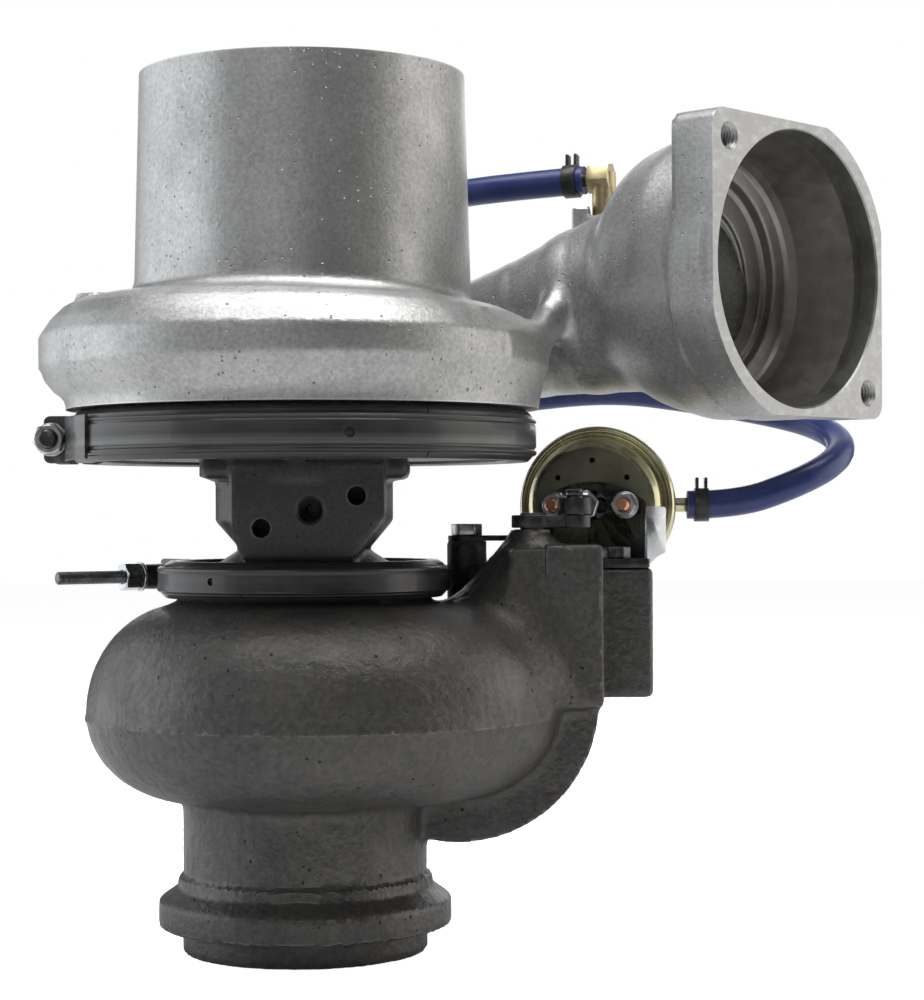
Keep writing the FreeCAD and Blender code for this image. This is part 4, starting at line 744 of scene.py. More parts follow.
# Point(k, j) = base + r_kj (cos a_j side + sin a_j up) + h_kj way; rings k run along the section.
def gridMesh(radius, height, base=(0, 0, 0), direction=(0, 0, 1), closed=True):
    radius, height = np.asarray(radius, dtype=float), np.asarray(height, dtype=float)
    count, segments = radius.shape
    side, up, way = bases(direction)
    angle = np.linspace(0, 2 * np.pi, segments, endpoint=False)
    ringWay = np.cos(angle)[None, :, None] * side + np.sin(angle)[None, :, None] * up
    points = np.array(base, dtype=float) + radius[:, :, None] * ringWay + height[:, :, None] * way
    index = np.arange(count * segments).reshape(count, segments)
    following = np.roll(index, -1, axis=0) if closed else index[1:]
    start = index if closed else index[:-1]
    quads = np.stack([start, np.roll(start, -1, axis=1), np.roll(following, -1, axis=1), following], axis=-1)
    return points.reshape(-1, 3), quads.reshape(-1, 4).tolist()


# Radius across/2 / cos(angle to the nearest flat), with the corners cut by a 30 degree cone.
def hexNut(name, base, direction, across, height, bore, body="housings", washerRadius=0.0, spin=0.0):
    segments = 96
    angle = np.linspace(0, 2 * np.pi, segments, endpoint=False) + math.radians(spin)
    flat = across / 2 / np.cos((angle + math.pi / 6) % (math.pi / 3) - math.pi / 6)
    rounded = 0.955 * across / 2 * np.ones(segments)
    drop = np.maximum(flat - rounded, 0) * 0.62
    foot = np.zeros(segments)
    if washerRadius:
        rings = [(bore, 0), (washerRadius, 0), (washerRadius, 0.12 * height), (rounded, 0.16 * height),
                 (flat, 0.16 * height + drop)]
    else:
        rings = [(bore + 0.6, 0), (rounded, 0), (flat, drop)]
    rings += [(flat, height - drop), (rounded, height), (bore + 0.6, height), (bore, height - 0.6),
              (bore, 0.6)]
    radius = np.array([ring[0] + foot for ring in rings])
    rise = np.array([ring[1] + foot for ring in rings])
    return makePiece(name, *gridMesh(radius, rise, base, direction), body=body, smoothAngle=24.0)


# Radius r - depth |saw(height / pitch - turn)|, plain below a height, chamfered at the tip.
def threadedRod(name, base, direction, radius, length, pitch, plain=0.0, depth=0.55, body="housings",
                tip=0.7):
    segments, rows = 36, int(length / pitch * 8)
    height = np.linspace(0, length, rows)[:, None] * np.ones(segments)
    turn = np.linspace(0, 1, segments, endpoint=False)[None, :]
    saw = np.abs(((height / pitch - turn) % 1.0) - 0.5) * 2
    cut = depth * np.clip(1.25 * saw - 0.12, 0, 1) * (height > plain)
    cut = np.maximum(cut, tip - (length - height))
    tube = radius - np.maximum(cut, 0)
    zero = np.zeros((1, segments))
    tube = np.concatenate([zero, tube, zero])
    height = np.concatenate([zero, height, zero + length])
    return cleaned(makePiece(name, *gridMesh(tube, height, base, direction), body=body, smoothAngle=50.0))


# A closed (r, z) outline carried round the rotor axis from one angle through another, with ends.
def arcSweep(name, outline, start, sweep, segments=120, body="housings", angle=28.0, height=0.0):
    outline = np.array(outline, dtype=float)
    area = np.sum(outline[:, 0] * np.roll(outline[:, 1], -1) - np.roll(outline[:, 0], -1) * outline[:, 1])
    if area < 0:
        outline = outline[::-1]
    turn = np.radians(start + np.linspace(0, sweep, segments + 1))
    way = np.stack([np.cos(turn), np.sin(turn)], axis=-1)
    flat = outline[:, 0][:, None, None] * way[None, :, :]
    rise = np.broadcast_to((outline[:, 1] + height)[:, None, None], (len(outline), segments + 1, 1))
    points = np.concatenate([flat, rise], axis=-1)
    index = np.arange(len(outline) * (segments + 1)).reshape(len(outline), segments + 1)
    following = np.roll(index, -1, axis=0)
    quads = np.stack([index[:, :-1], index[:, 1:], following[:, 1:], following[:, :-1]],
                     axis=-1).reshape(-1, 4)
    faces = quads.tolist() + [index[:, 0].tolist()[::-1], index[:, -1].tolist()]
    faces[-2], faces[-1] = faces[-2][::-1], faces[-1][::-1]
    return recalculated(makePiece(name, points.reshape(-1, 3), faces, body, angle))


# Merge doubles and turn every face outwards.
def recalculated(piece):
    work = bmesh.new()
    work.from_mesh(piece.data)
    bmesh.ops.remove_doubles(work, verts=work.verts, dist=1e-7)
    bmesh.ops.recalc_face_normals(work, faces=work.faces)
    work.to_mesh(piece.data)
    work.free()
    return piece


# Give a piece its finishes; the first one is also its slot in the record.
def finish(piece, *slots):
    piece.data.materials.clear()
    for slot in slots:
        piece.data.materials.append(finishes[slot])
    return piece


# Put several closed shells of one finish into one piece.
def joined(name, pieces, body="housings"):
    work = bmesh.new()
    for piece in pieces:
        bake(piece)
        work.from_mesh(piece.data)
    mesh = bpy.data.meshes.new(name)
    work.to_mesh(mesh)
    work.free()
    for piece in pieces:
        bpy.data.objects.remove(piece)
    result = bpy.data.objects.new(name, mesh)
    bpy.context.scene.collection.objects.link(result)
    shade(result, 30.0)
    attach(result, body)
    return result


# Give the faces whose centres pass a test the piece's next finish.
def finishFacesWhere(piece, test, index=1):
    mesh = piece.data
    centres = np.empty(len(mesh.polygons) * 3)
    mesh.polygons.foreach_get("center", centres)
    chosen = test(centres.reshape(-1, 3) / mm)
    numbers = np.zeros(len(mesh.polygons), dtype=np.int32)
    mesh.polygons.foreach_get("material_index", numbers)
    numbers[chosen] = index
    mesh.polygons.foreach_set("material_index", numbers)
    return piece

# compressor housing
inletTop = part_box("compressor_housing")[1][2] / mm
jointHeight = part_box("compressor_housing")[0][2] / mm
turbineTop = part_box("bearing_housing")[0][2] / mm + 12.0      # the bearing housing reaches 12 into it
compressorValues = {
    "inletRadius": 76.2, "inletRoot": 79.2, "inletBore": 70.2,
    "lipRadius": 110.2, "lipHeight": jointHeight + 13.6, "coneRadius": 115.0, "coneTop": jointHeight + 33.8,
    "bandMiddle": 278.7, "scrollRadius": 123.5,
    "scrollOutline": ((40, 304), (40, 257), (99, 255), (110, 256.5), (116.5, 260.5), (120.8, 265.8),
                      (122.6, 270.4),
                      (123.5, 271.6), (123.5, 285.4), (122.9, 286.6), (118.0, 294.0), (112.5, 299.6),
                      (106, 303.2),
                      (97, 305.2), (85, 306)),
    "scrollAngle": (-285, -250, -225, -180, -135, -90, -60, -35, -15),
    "scrollOuter": (131, 130, 128, 123.5, 120.5, 118.5, 117, 115.5, 114),
    "scrollTall": (1.16, 1.1, 1.05, 1.0, 0.97, 0.93, 0.88, 0.82, 0.78),
    "duct": ((0, 102, 281, 31), (40, 98, 283, 30), (78, 82, 288, 30), (112, 68, 296, 35),
             (142, 57, 304, 42), (168, 46, 310, 48)),
    "passage": ((75, 88, 289, 20), (120, 70, 298, 27), (160, 52, 308, 33), (197, 36, 314, 36)),
    "ridge": ((92, -64, 277.5, 5), (104, -36, 279, 5.5), (110, -8, 284, 6), (114, 14, 292, 6.5),
              (123, 28, 303, 7), (134, 30, 314, 8)),
    "ridgeSqueeze": np.array((1.0, 1.0, 0.6)),
    "bowlRadius": 69.8, "plate": 24.0,
    "bossPads": ((-96, -12, 306.5, 9), (77, -62, 295, 9)),
}
dischargeValues = {
    "centre": (234.5, 0.0, 317.9), "turn": 47.5, "half": 69.7, "corner": 8.0,
    "boltReach": 56.57, "boltRadius": 5.9, "boltDepth": 20.0, "sweepRadius": 72.7,
    "hollow": ((0, -60), (36, -60), (36, -57.5), (47.5, -57.5), (50, -56), (50, -50.5), (56.5, -49),
               (58, -47),
               (59.5, -43), (64.2, -24), (66.0, -14), (66.0, -10.5), (65.2, -9.7), (65.2, -0.8), (66.2, 0.4),
               (66.2, 3), (0, 3)),
}
faceTurn = math.radians(dischargeValues["turn"])
faceNormal = np.array((math.sin(faceTurn), -math.cos(faceTurn), 0.0))
faceAcross = np.array((math.cos(faceTurn), math.sin(faceTurn), 0.0))
faceCentre = np.array(dischargeValues["centre"])
upward = np.array((0.0, 0.0, 1.0))


def onFace(across, up, out=0.0):
    return faceCentre + faceAcross * across + upward * up + faceNormal * out


# a turned outline whose radius and height change with the angle round the axis
def scrollField(points, v):
    radius = np.hypot(points[:, 0], points[:, 1])
    angle = np.degrees(np.arctan2(points[:, 1], points[:, 0]))
    angle = np.where(angle > 75.0, angle - 360.0, angle)
    shift = v["scrollRadius"] - np.interp(angle, v["scrollAngle"], v["scrollOuter"]).astype(np.float32)
    tall = np.interp(angle, v["scrollAngle"], v["scrollTall"]).astype(np.float32)
    return outlineField(radius + shift, v["bandMiddle"] + (points[:, 2] - v["bandMiddle"]) / tall,
                        v["scrollOutline"])


# scroll, cone, duct, bowl, inlet tube and end plate with fillets between them, less the gas passage
def compressorField(points):
    v = compressorValues
    top = inletTop + 4
    lip, shoulder = v["lipHeight"], v["bandMiddle"] + 12
    core = turnedField(points, [(0, lip - 4), (v["lipRadius"], lip - 4), (v["lipRadius"] + 0.6, lip + 3.5),
                                (v["coneRadius"], v["coneTop"]), (100, v["coneTop"] + 6),
                                (88, shoulder), (0, shoulder)])
    shape = smoothUnion(core, scrollField(points, v), 3.0)
    tube = turnedField(points, [(0, lip + 4), (v["inletRoot"] + 1.0, lip + 4),
                                (v["inletRadius"], top), (0, top)])
    duct = chainField(points, v["duct"])
    bowl = turnedField(points, softCorners([(0, -98), (40, -96), (62, -76), (v["bowlRadius"], -48),
                                            (v["bowlRadius"], -6), (0, -6)],
                                           [0, 24, 34, 30, 2, 0], 6), faceCentre, faceNormal)
    shape = smoothUnion(shape, duct, 10.0)
    squeezed = (points * v["ridgeSqueeze"]).astype(np.float32)
    ridge = chainField(squeezed, [(x, y, z * v["ridgeSqueeze"][2], r) for x, y, z, r in v["ridge"]])
    shape = smoothUnion(shape, ridge, 5.0)
    shape = smoothUnion(shape, bowl, 5.0)
    shape = smoothUnion(shape, tube, 8.0)
    shape = smoothUnion(shape, plateField(points), 5.0)
    for x, y, height, radius in v["bossPads"]:
        pad = np.maximum(np.hypot(points[:, 0] - x, points[:, 1] - y) - radius, points[:, 2] - height)
        shape = smoothUnion(shape, np.maximum(pad, height - 16 - points[:, 2]), 2.5)
    pad = np.maximum(np.hypot(points[:, 0] - 147, points[:, 1] - 74) - 11, points[:, 2] - 352)
    shape = smoothUnion(shape, np.maximum(pad, 315 - points[:, 2]), 5.0)
    lug = boxField(points, (130, 68, 335), (139, 78, 357), 1.5)
    return smoothUnion(shape, lug, 2.0)


# the square end plate: two plain corners, two swept round the bore
def plateField(points):
    d = dischargeValues
    offset = points - faceCentre.astype(np.float32)
    across, up, out = (offset @ axis.astype(np.float32) for axis in (faceAcross, upward, faceNormal))
    half, depth = d["half"] - 0.6, compressorValues["plate"]
    square = np.maximum(np.abs(across), np.abs(up)) - half
    corner = np.maximum(np.abs(across) - half + d["corner"], 0) ** 2 \
        + np.maximum(np.abs(up) - half + d["corner"], 0) ** 2
    square = np.maximum(square, np.sqrt(corner) - d["corner"])
    swept = np.where(across * up > 0, np.hypot(across, up) - d["sweepRadius"], -99.0)
    return np.maximum(np.maximum(square, swept), np.maximum(out - 3, -out - depth))


def buildCompressorHousing():
    v, d = compressorValues, dischargeValues
    piece = castMesh("compressorCasting", compressorField, (-132, -128, 242), (290, 146, 418), 2.2)
    keep = lathe("keep", [(0, v["lipHeight"]), (140, v["lipHeight"]), (140, 230), (400, 230),
                          (400, inletTop),
                          (0, inletTop)], body=None)
    combine(piece, [keep], "INTERSECT")
    bore = v["inletBore"]
    throat = softCorners([(0, inletTop + 2), (bore + 2.6, inletTop + 2), (bore + 0.6, inletTop),
                          (bore, inletTop - 0.8),
                          (bore, inletTop - 42), (bore - 8, 353.7), (43, 329.7), (38.6, 321.7), (38.6, 276),
                          (43.6, 262), (51.6, 256.9), (84, 256.8), (84, 240), (0, 240)],
                         [0, 0, 0, 0, 4, 30, 14, 6, 6, 4, 0, 0, 0, 0], 5)
    facing = prism("facing", [(-90, -90), (90, -90), (90, 90), (-90, 90)], 12, onFace(0, 0), faceAcross,
                   upward,
                   body=None)
    hollow = lathe("hollow", softCorners(d["hollow"], [0, 2, 2, 2, 1, 2, 2, 1, 6, 14, 4, .4, .4, .4, 0, 0,
                                                       0], 4),
                   faceCentre, faceNormal, body=None, segments=144)
    passage = castMesh("passage", lambda spots: chainField(spots, v["passage"]), (45, -10, 262),
                       (240, 116, 358), 4,
                       None)
    cutters = [lathe("throat", throat, body=None, segments=144), facing, hollow, passage]
    for side in (-1, 1):
        spot = onFace(side * d["boltReach"], -side * d["boltReach"], -d["boltDepth"])
        cutters.append(threadedRod("tapped", spot, faceNormal, d["boltRadius"], d["boltDepth"] + 4, 1.75,
                                   tip=-9.0,
                                   depth=0.95, body=None))
        cutters.append(lathe("chamfer", [(0, -1.6), (5.0, -1.6), (6.9, 0.3), (6.9, 2), (0, 2)],
                             onFace(side * d["boltReach"], -side * d["boltReach"]), faceNormal, body=None,
                             segments=48))
    combine(piece, cutters)
    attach(piece, "housings")
    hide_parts("compressor_housing")
    # the third finish is painted shade: darker aluminium for the walls inside the outlet bore
    finish(piece, "cast_aluminium", "machined_aluminium", "shade_painted_aluminium")

    def isMachined(spots):
        out = (spots - faceCentre) @ faceNormal
        side = np.linalg.norm(spots - faceCentre - out[:, None] * faceNormal, axis=1)
        radius = np.hypot(spots[:, 0], spots[:, 1])
        face = (np.abs(out) < 0.2) | ((side < 65.8) & (side > 64.5) & (out > -10.6) & (out < 1))
        return face | (spots[:, 2] > inletTop - 0.3) | ((radius < bore + 0.8) & (spots[:, 2] < 360)
                                                       & (spots[:, 2] > 254))

    # faces on the walls inside the outlet bore, which take the darker aluminium as painted shade
    def isInside(spots):
        out = (spots - faceCentre) @ faceNormal
        side = np.linalg.norm(spots - faceCentre - out[:, None] * faceNormal, axis=1)
        return (side < np.interp(out, (-60, -43, -24, -10), (59, 61, 65.5,
                                                             66.4))) & (out < -10.2) & (out > -60.5)
    finishFacesWhere(piece, isMachined)
    finishFacesWhere(piece, isInside, 2)
    return piece


# turbine housing
turbineValues = {
    "outletRadius": 57.15, "ringRadius": 68.4,
    "voluteAngle": (-300, -270, -225, -180, -135, -90, -45, -5, 20),
    "voluteOuter": (90, 91, 95, 100.7, 105, 110, 116, 120, 121),
    "voluteHalf": (38, 40, 43, 45, 45, 46, 46, 46, 45),
    "portMiddle": (121.65, 146.25), "portSize": (46.0, 34.0), "boltSpacing": (72.0, 42.0),
    "boltRadius": 4.75,
    "block": ((112.5, -25, 114.3), (139.2, 22, 188.7)), "shoulder": ((96, -22.8, 114.3), (115, 22, 187.0)),
    "plate": ((78, 16, 115.2), (165.3, 38, 177.3)),
    "elbow": {"x": 72, "z": 116.4, "outer": 65.5, "inner": 35.0, "y": 5, "half": 20},
    "hill": ((94, 2, 132), (106, -3, 189), 44, 11), "hillHeights": (116, 195.5), "hillBack": 12,
    "skin": {"middle": (96, -3, 172), "spread": 900, "everywhere": 0.16, "hill": 0.6, "rate": 0.62},
    "boss": (76.5, 31, 9.5, 190.4),
}


# three crossed waves turned against each other, about -1 to 1
def wrinkles(points, rate):
    x, y, z = (points[:, i] * rate for i in range(3))
    return (np.sin(x + 1.7 * np.sin(0.43 * y + 0.9 * z)) * np.sin(y + 1.3 * np.sin(0.57 * z + 0.8 * x))
            + np.sin(1.9 * z + 1.1 * np.sin(1.1 * x - 0.6 * y)) * np.sin(1.6 * x + 2.1 * y)) / 2


# volute, outlet pipe, neck, wastegate block, manifold plate and bypass elbow with fillets between
def turbineField(points):
    v = turbineValues
    radius = np.hypot(points[:, 0], points[:, 1])
    angle = np.degrees(np.arctan2(points[:, 1], points[:, 0]))
    angle = np.where(angle > 20.0, angle - 360.0, angle)
    outer = np.interp(angle, v["voluteAngle"], v["voluteOuter"]).astype(np.float32)
    half = np.interp(angle, v["voluteAngle"], v["voluteHalf"]).astype(np.float32)
    height = points[:, 2] - 112.0
    tall = np.where(height > 0, 50.0, 40.0)
    across = np.maximum(radius - (outer - half), 0)
    volute = (np.hypot(across / half, height / tall) - 1.0) * 42.0
    volute = volute - 0.9 * np.exp(-((points[:, 2] - 110.0) / 1.5) ** 2)
    pipe = turnedField(points, softCorners([
        (0, 0), (v["outletRadius"], 0), (v["outletRadius"], 12), (v["ringRadius"], 12),
        (v["ringRadius"], 24.2),
        (59.6, 30.3), (59.6, 34.6), (57, 36), (57, 110), (0, 110)], [0, 1.2, 0.8, 1.8, 2, 1, 0.6, 1, 0, 0]))
    shape = smoothUnion(volute, pipe, 8.0)
    neck = turnedField(points, [(0, 100), (70, 100), (70, 152), (59, 163), (59, 167.7), (65, 170.3),
                                (65, turbineTop), (0, turbineTop)])
    shape = smoothUnion(shape, neck, 4.0)
    block = np.minimum(boxField(points, *v["block"], 2.0), boxField(points, *v["shoulder"], 2.0))
    shape = smoothUnion(shape, block, 6.0)
    shape = smoothUnion(shape, boxField(points, *v["plate"], 3.0), 3.0)
    bend = v["elbow"]
    elbow = np.hypot(points[:, 0] - bend["x"], points[:, 2] - bend["z"])
    elbow = np.maximum(elbow - bend["outer"], bend["inner"] - elbow)
    elbow = np.maximum(np.maximum(elbow, bend["x"] - points[:, 0] - 30), points[:, 2] - 125)
    elbow = np.maximum(elbow, np.abs(points[:, 1] - bend["y"]) - bend["half"])
    shape = smoothUnion(shape, elbow, 5.0)
    foot, top = v["hillHeights"]
    hill = np.maximum(coneField(points, *v["hill"]), points[:, 2] - top)
    hill = np.maximum(hill, np.maximum(points[:, 1] - v["hillBack"], foot - points[:, 2]))
    shape = smoothUnion(shape, hill, 8.0)
    skin = v["skin"]
    x, y, z = skin["middle"]
    near = (points[:, 0] - x) ** 2 + (points[:, 1] - y) ** 2 + (points[:, 2] - z) ** 2
    near = np.exp(-near / skin["spread"])
    shape = shape + (skin["everywhere"] + skin["hill"] * near) * wrinkles(points, skin["rate"])
    x, y, size, height = v["boss"]
    boss = np.maximum(np.hypot(points[:, 0] - x, points[:, 1] - y) - size, points[:, 2] - height)
    return smoothUnion(shape, np.maximum(boss, 120 - points[:, 2]), 6.0)


def buildTurbineHousing():
    v = turbineValues
    piece = castMesh("turbineCasting", turbineField, (-108, -120, -6), (172, 112, 204), 2.2)
    gas = softCorners([(0, -1), (51.4, -1), (50, 0.6), (50, 60), (41, 106), (38.6, 112), (38.6, 128),
                       (44.6, 143),
                       (52, 139), (52, 167.1), (55.05, 167.1), (55.05, 176), (0, 176)],
                      [0, 0, 0, 12, 8, 2, 8, 0, 0, 0, 0, 0, 0], 4)
    x, z = v["portMiddle"]
    wide, tall = v["portSize"][0] / 2, v["portSize"][1] / 2
    port = softCorners([(x - wide, z - tall), (x + wide, z - tall), (x + wide, z + tall),
                        (x - wide, z + tall)], 10, 6)
    inner = softCorners([(x - wide, z - tall), (136.8, z - tall), (136.8, z + tall), (x - wide, z + tall)],
                        10, 6)
    cutters = [lathe("gas", gas, body=None, segments=144),
               prism("port", port, 20.5, (0, 40, 0), (1, 0, 0), (0, 0, 1), body=None),
               prism("inner", inner, 29, (0, 40, 0), (1, 0, 0), (0, 0, 1), body=None),
               prism("room", [(98.5, 139), (136.8, 139), (136.8, 176.7), (98.5, 176.7)], 30, (0, 8, 0),
                     (1, 0, 0), (0, 0, 1), body=None),
               lathe("shaftHole", [(0, 165), (8.5, 165), (8.5, 203), (0, 203)], (107, -3, 0), body=None,
                     segments=48)]
    for side in (-1, 1):
        for rise in (-1, 1):
            spot = (x + side * v["boltSpacing"][0] / 2, 41, z + rise * v["boltSpacing"][1] / 2)
            cutters.append(lathe("stud", [(0, 0), (5.6, 0), (5.6, 3.2), (4.75, 4.2), (4.75, 19), (0, 21)],
                                 spot,
                                 (0, -1, 0), body=None, segments=40))
    combine(piece, cutters)
    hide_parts("turbine_housing")
    finish(piece, "cast_iron", "machined_iron")

    def isMachined(spots):
        radius = np.hypot(spots[:, 0], spots[:, 1])
        return ((spots[:, 1] > 37.8) & (spots[:, 0] > 70)) | ((radius < 58) & (spots[:, 2] < 0.6)) \
            | ((radius < 56) & (spots[:, 2] > 100)) | ((radius > 50) & (radius < 66) & (spots[:, 2] > 173.2))
    finishFacesWhere(piece, isMachined)
    return piece

# bearing housing
bearingValues = {
    "low": turbineTop, "high": jointHeight, "pad": (-29.6, 39.5, -50.0), "padZ": (182.3, 227.2),
    "oilHole": (6.0, 205.4, 5.6), "oilBolts": ((-16.2, 197.4), (26.9, 211.9)), "boltRadius": 4.3,
    "drain": (31.0, 52.0, 15.0), "drainBolts": 22.0,
}


# a turned core with an oil pad in front and a drain pad behind, filleted like a casting
def bearingField(points):
    v = bearingValues
    low, high = v["low"], v["high"]
    body = turnedField(points, [(0, low - 12), (27, low - 12), (33, low - 5), (55, low - 5), (55, low),
                                (65, low),
                                (65, low + 3.2), (59, low + 5.8), (50, low + 5.8), (40, low + 7.5),
                                (30, low + 14),
                                (41.4, low + 27), (41.4, high - 19.5), (48.9, high - 17.5), (48.9, high - 9),
                                (91.5, high - 9), (95.5, high - 7.1), (101.5, high - 4.5), (101.5, high),
                                (0, high)])
    left, right, front = v["pad"]
    bottom, top = v["padZ"]
    pad = boxField(points, (left, front, bottom), (right, 0, top), 1.5)
    pad = np.maximum(pad, 0.8 * (points[:, 0] - right) - 0.6 * (points[:, 2] - bottom - 20))
    pad = np.maximum(pad, -0.9 * (points[:, 0] - left) - 0.45 * (points[:, 2] - bottom - 12))
    shape = smoothUnion(body, pad, 5.0)
    flange = boxField(points, (-44, -46, high - 19), (50, -4, high - 9.5), 4.0)
    shape = smoothUnion(shape, flange, 3.0)
    drain = np.maximum(np.hypot(points[:, 0], points[:, 2] - 205.4) - v["drain"][0],
                       points[:, 1] - v["drain"][1])
    drain = np.maximum(np.maximum(drain, -points[:, 1]), np.abs(points[:, 2] - 206.5) - 24.2)
    return smoothUnion(shape, drain, 5.0)


def buildBearingHousing():
    v = bearingValues
    piece = castMesh("bearingCasting", bearingField, (-108, -108, 156), (108, 108, 245), 2.0)
    low, high = v["low"], v["high"]
    x, z = v["oilHole"][:2]
    front, back = v["pad"][2], v["drain"][1]
    cutters = [lathe("line", [(0, low - 14), (11.05, low - 14), (11.05, low + 10), (12.05, low + 10),
                              (12.05, high - 15),
                              (24, high - 15), (24, high - 11), (26, high - 11), (26, high - 8.7),
                              (34, high - 8.7),
                              (34, high + 1), (0, high + 1)], body=None),
               lathe("oilHole", [(0, -2), (6.9, -2), (6.9, 0), (5.6, 1.3), (5.6, 12), (3, 13.5), (3, 30),
                                 (0, 30)],
                     (x, front, z), (0, 1, 0), body=None, segments=64),
               lathe("drainHole", [(0, -2), (16, -2), (16, 0), (15, 1), (15, 16), (9, 19), (9, 36), (0, 36)],
                     (0, back, z), (0, -1, 0), body=None, segments=64)]
    for boltX, boltZ in v["oilBolts"]:
        cutters.append(threadedRod("oilBolt", (boltX, front + 18, boltZ), (0, -1, 0), 4.75, 20, 1.25,
                                   tip=-9.0,
                                   body=None))
    for side in (-1, 1):
        cutters.append(threadedRod("drainBolt", (side * v["drainBolts"], back - 18, z), (0, 1, 0), 4.75, 20,
                                   1.25,
                                   tip=-9.0, body=None))
    combine(piece, cutters)
    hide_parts("bearing_housing")
    finish(piece, "bearing_iron", "machined_iron")
    finishFacesWhere(piece, lambda spots: (np.abs(spots[:, 1] - back) < 0.3)
             | ((np.hypot(spots[:, 0], spots[:, 1]) < 27) & (np.abs(spots[:, 1]) < 27)))
    return piece


# wheels
compressorWheelValues = {
    "base": jointHeight + 11.0, "count": 7, "wrap": 62.0, "lean": 6.0, "thick": (0.9, 0.45),
    "hub": ((0, 11.8, 41.5), (0.3, 13.5, 31), (0.55, 19, 18.5), (0.78, 30, 8.2), (1, 50.5, 1.6)),
    "tip": ((0, 37.6, 40.0), (0.3, 37.7, 27), (0.55, 39.5, 17), (0.78, 44, 10.4), (1, 50.8, 6.3)),
}
turbineWheelValues = {
    "base": turbineTop - 17.5, "count": 11, "wrap": -48.0, "lean": -4.0, "thick": (1.3, 0.7),
    "hub": ((0, 10.4, -42.5), (0.35, 12, -26), (0.6, 17, -14), (0.82, 27, -5.5), (1, 42.5, -2)),
    "tip": ((0, 37.9, -43.5), (0.35, 38, -29), (0.6, 39, -22), (0.82, 41.2, -17), (1, 43.8, -12.6)),
}


# blade(u, w) = (1 - w) hub(u) + w tip(u), turned by wrap (1 - u)^1.6 + lean w, half a thickness each way
def bladeShell(v, first, start=0.0, steps=28, rise=8):
    u = np.linspace(start, 1, steps)[:, None]
    w = np.linspace(0, 1, rise)[None, :]
    hub, tip = np.array(v["hub"]), np.array(v["tip"])
    fine = np.linspace(0, 1, 81)

    def smooth(table, column):
        line = np.interp(fine, table[:, 0], table[:, column])
        for _ in range(14):
            line[1:-1] = (line[:-2] + 2 * line[1:-1] + line[2:]) / 4
        return np.interp(u, fine, line)
    radius = (1 - w) * (smooth(hub, 1) - 0.6) + w * smooth(tip, 1)
    height = (1 - w) * (smooth(hub, 2) - 0.4) + w * smooth(tip, 2)
    turn = np.radians(first + v["wrap"] * (1 - u) ** 1.6 + v["lean"] * w * (1 - u))
    half = (v["thick"][0] * (1 - w) + v["thick"][1] * w) / np.maximum(radius, 1)
    half = half * np.minimum(1, 0.35 + 6 * (u - start))
    shells = [np.stack([radius * np.cos(turn + side * half), radius * np.sin(turn + side * half),
                        height + v["base"]], axis=-1).reshape(-1, 3) for side in (-1, 1)]
    index = np.arange(steps * rise).reshape(steps, rise)
    one = np.stack([index[:-1, :-1], index[1:, :-1], index[1:, 1:], index[:-1, 1:]], axis=-1).reshape(-1, 4)
    count = steps * rise
    rim = np.concatenate([index[:, 0], index[-1, 1:], index[-2::-1, -1], index[0, -2:0:-1]])
    after = np.roll(rim, -1)
    edge = np.stack([rim, rim + count, after + count, after], axis=-1)
    return np.concatenate(shells), np.concatenate([one, one[:, ::-1] + count, edge])


def buildWheel(name, node, v, hubOutline, slot, splitters=0.0):
    points, faces = latheMesh(softCorners(hubOutline, 1.0, 3), (0, 0, v["base"]), segments=96)
    allPoints, allFaces = [np.array(points)], list(faces)
    count = len(points)
    starts = [(360.0 * i / v["count"], 0.0) for i in range(v["count"])]
    if splitters:
        starts += [(first + 180.0 / v["count"], splitters) for first, _ in starts]
    for first, start in starts:
        shell, quads = bladeShell(v, first, start)
        allPoints.append(shell)
        allFaces += (quads + count).tolist()
        count += len(shell)
    piece = recalculated(makePiece(name, np.concatenate(allPoints), allFaces, "rotor", 32.0))
    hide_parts(node)
    return finish(piece, slot)


def buildWheels():
    buildWheel("compressorWheel", "compressor_wheel", compressorWheelValues, [
        (5.5, 0), (51, 0), (51, 1.4), (44, 2.4), (34, 5.5), (26, 10.5), (19, 18.5), (14.5, 28), (12.3, 36),
        (12, 42), (5.5, 42)], "wheel_aluminium", 0.3)
    buildWheel("turbineWheel", "turbine_wheel", turbineWheelValues, [
        (0, 11), (11, 11), (11, 4), (16, 0), (41, 0), (41, -1.6), (33, -3.6), (24, -7.5), (16.5, -15),
        (12.2, -25),
        (10.6, -36), (10, -44), (7, -48), (0, -48)], "heat_alloy")


# clamp bands
bandValues = {
    "compressor": {
        "joint": jointHeight, "angle": 180.0, "gap": 5.0, "low": -11.0, "high": 13.3, "flange": 101.5,
        "edge": 4.5,
        "inner": 107.6, "hole": (284.0, 2.5), "boltLine": 116.0, "lug": (100.0, 20.0, 4.0, 12.0),
        "bolt": 4.2,
        "boltLength": 48.0, "pitch": 1.25, "nut": (13.0, 8.0), "wrap": 27.0, "spacer": 0.0,
        "strap": ((0, -8.3), (1.0, -8.3), (1.9, -7.4), (1.7, -6.3), (1.0, -5.7), (1.0, -4.9), (1.7, -4.2),
                  (1.7, 5.2),
                  (1.1, 6.0), (1.2, 6.8), (1.9, 7.5), (1.2, 8.3), (0, 8.3))},
    "turbine": {
        "joint": turbineTop, "angle": 125.0, "gap": 12.0, "low": -8.6, "high": 8.6, "flange": 65.0,
        "edge": 3.2,
        "inner": 66.9, "hole": (236.0, 1.8), "boltLine": 80.0, "lug": (60.0, 27.0, 4.0, 28.0), "bolt": 3.15,
        "boltLength": 124.0, "pitch": 1.0, "nut": (12.0, 9.0), "wrap": 9.0, "spacer": 12.0,
        "strap": ((0, -5.9), (0.9, -5.9), (1.8, -5.1), (1.6, -4.2), (1.4, 3.0), (1.8, 4.4), (1.6, 5.3),
                  (0.8, 5.9),
                  (0, 5.9))},
}


def polar(radius, angle, height=0.0):
    return np.array((radius * math.cos(math.radians(angle)), radius * math.sin(math.radians(angle)), height))


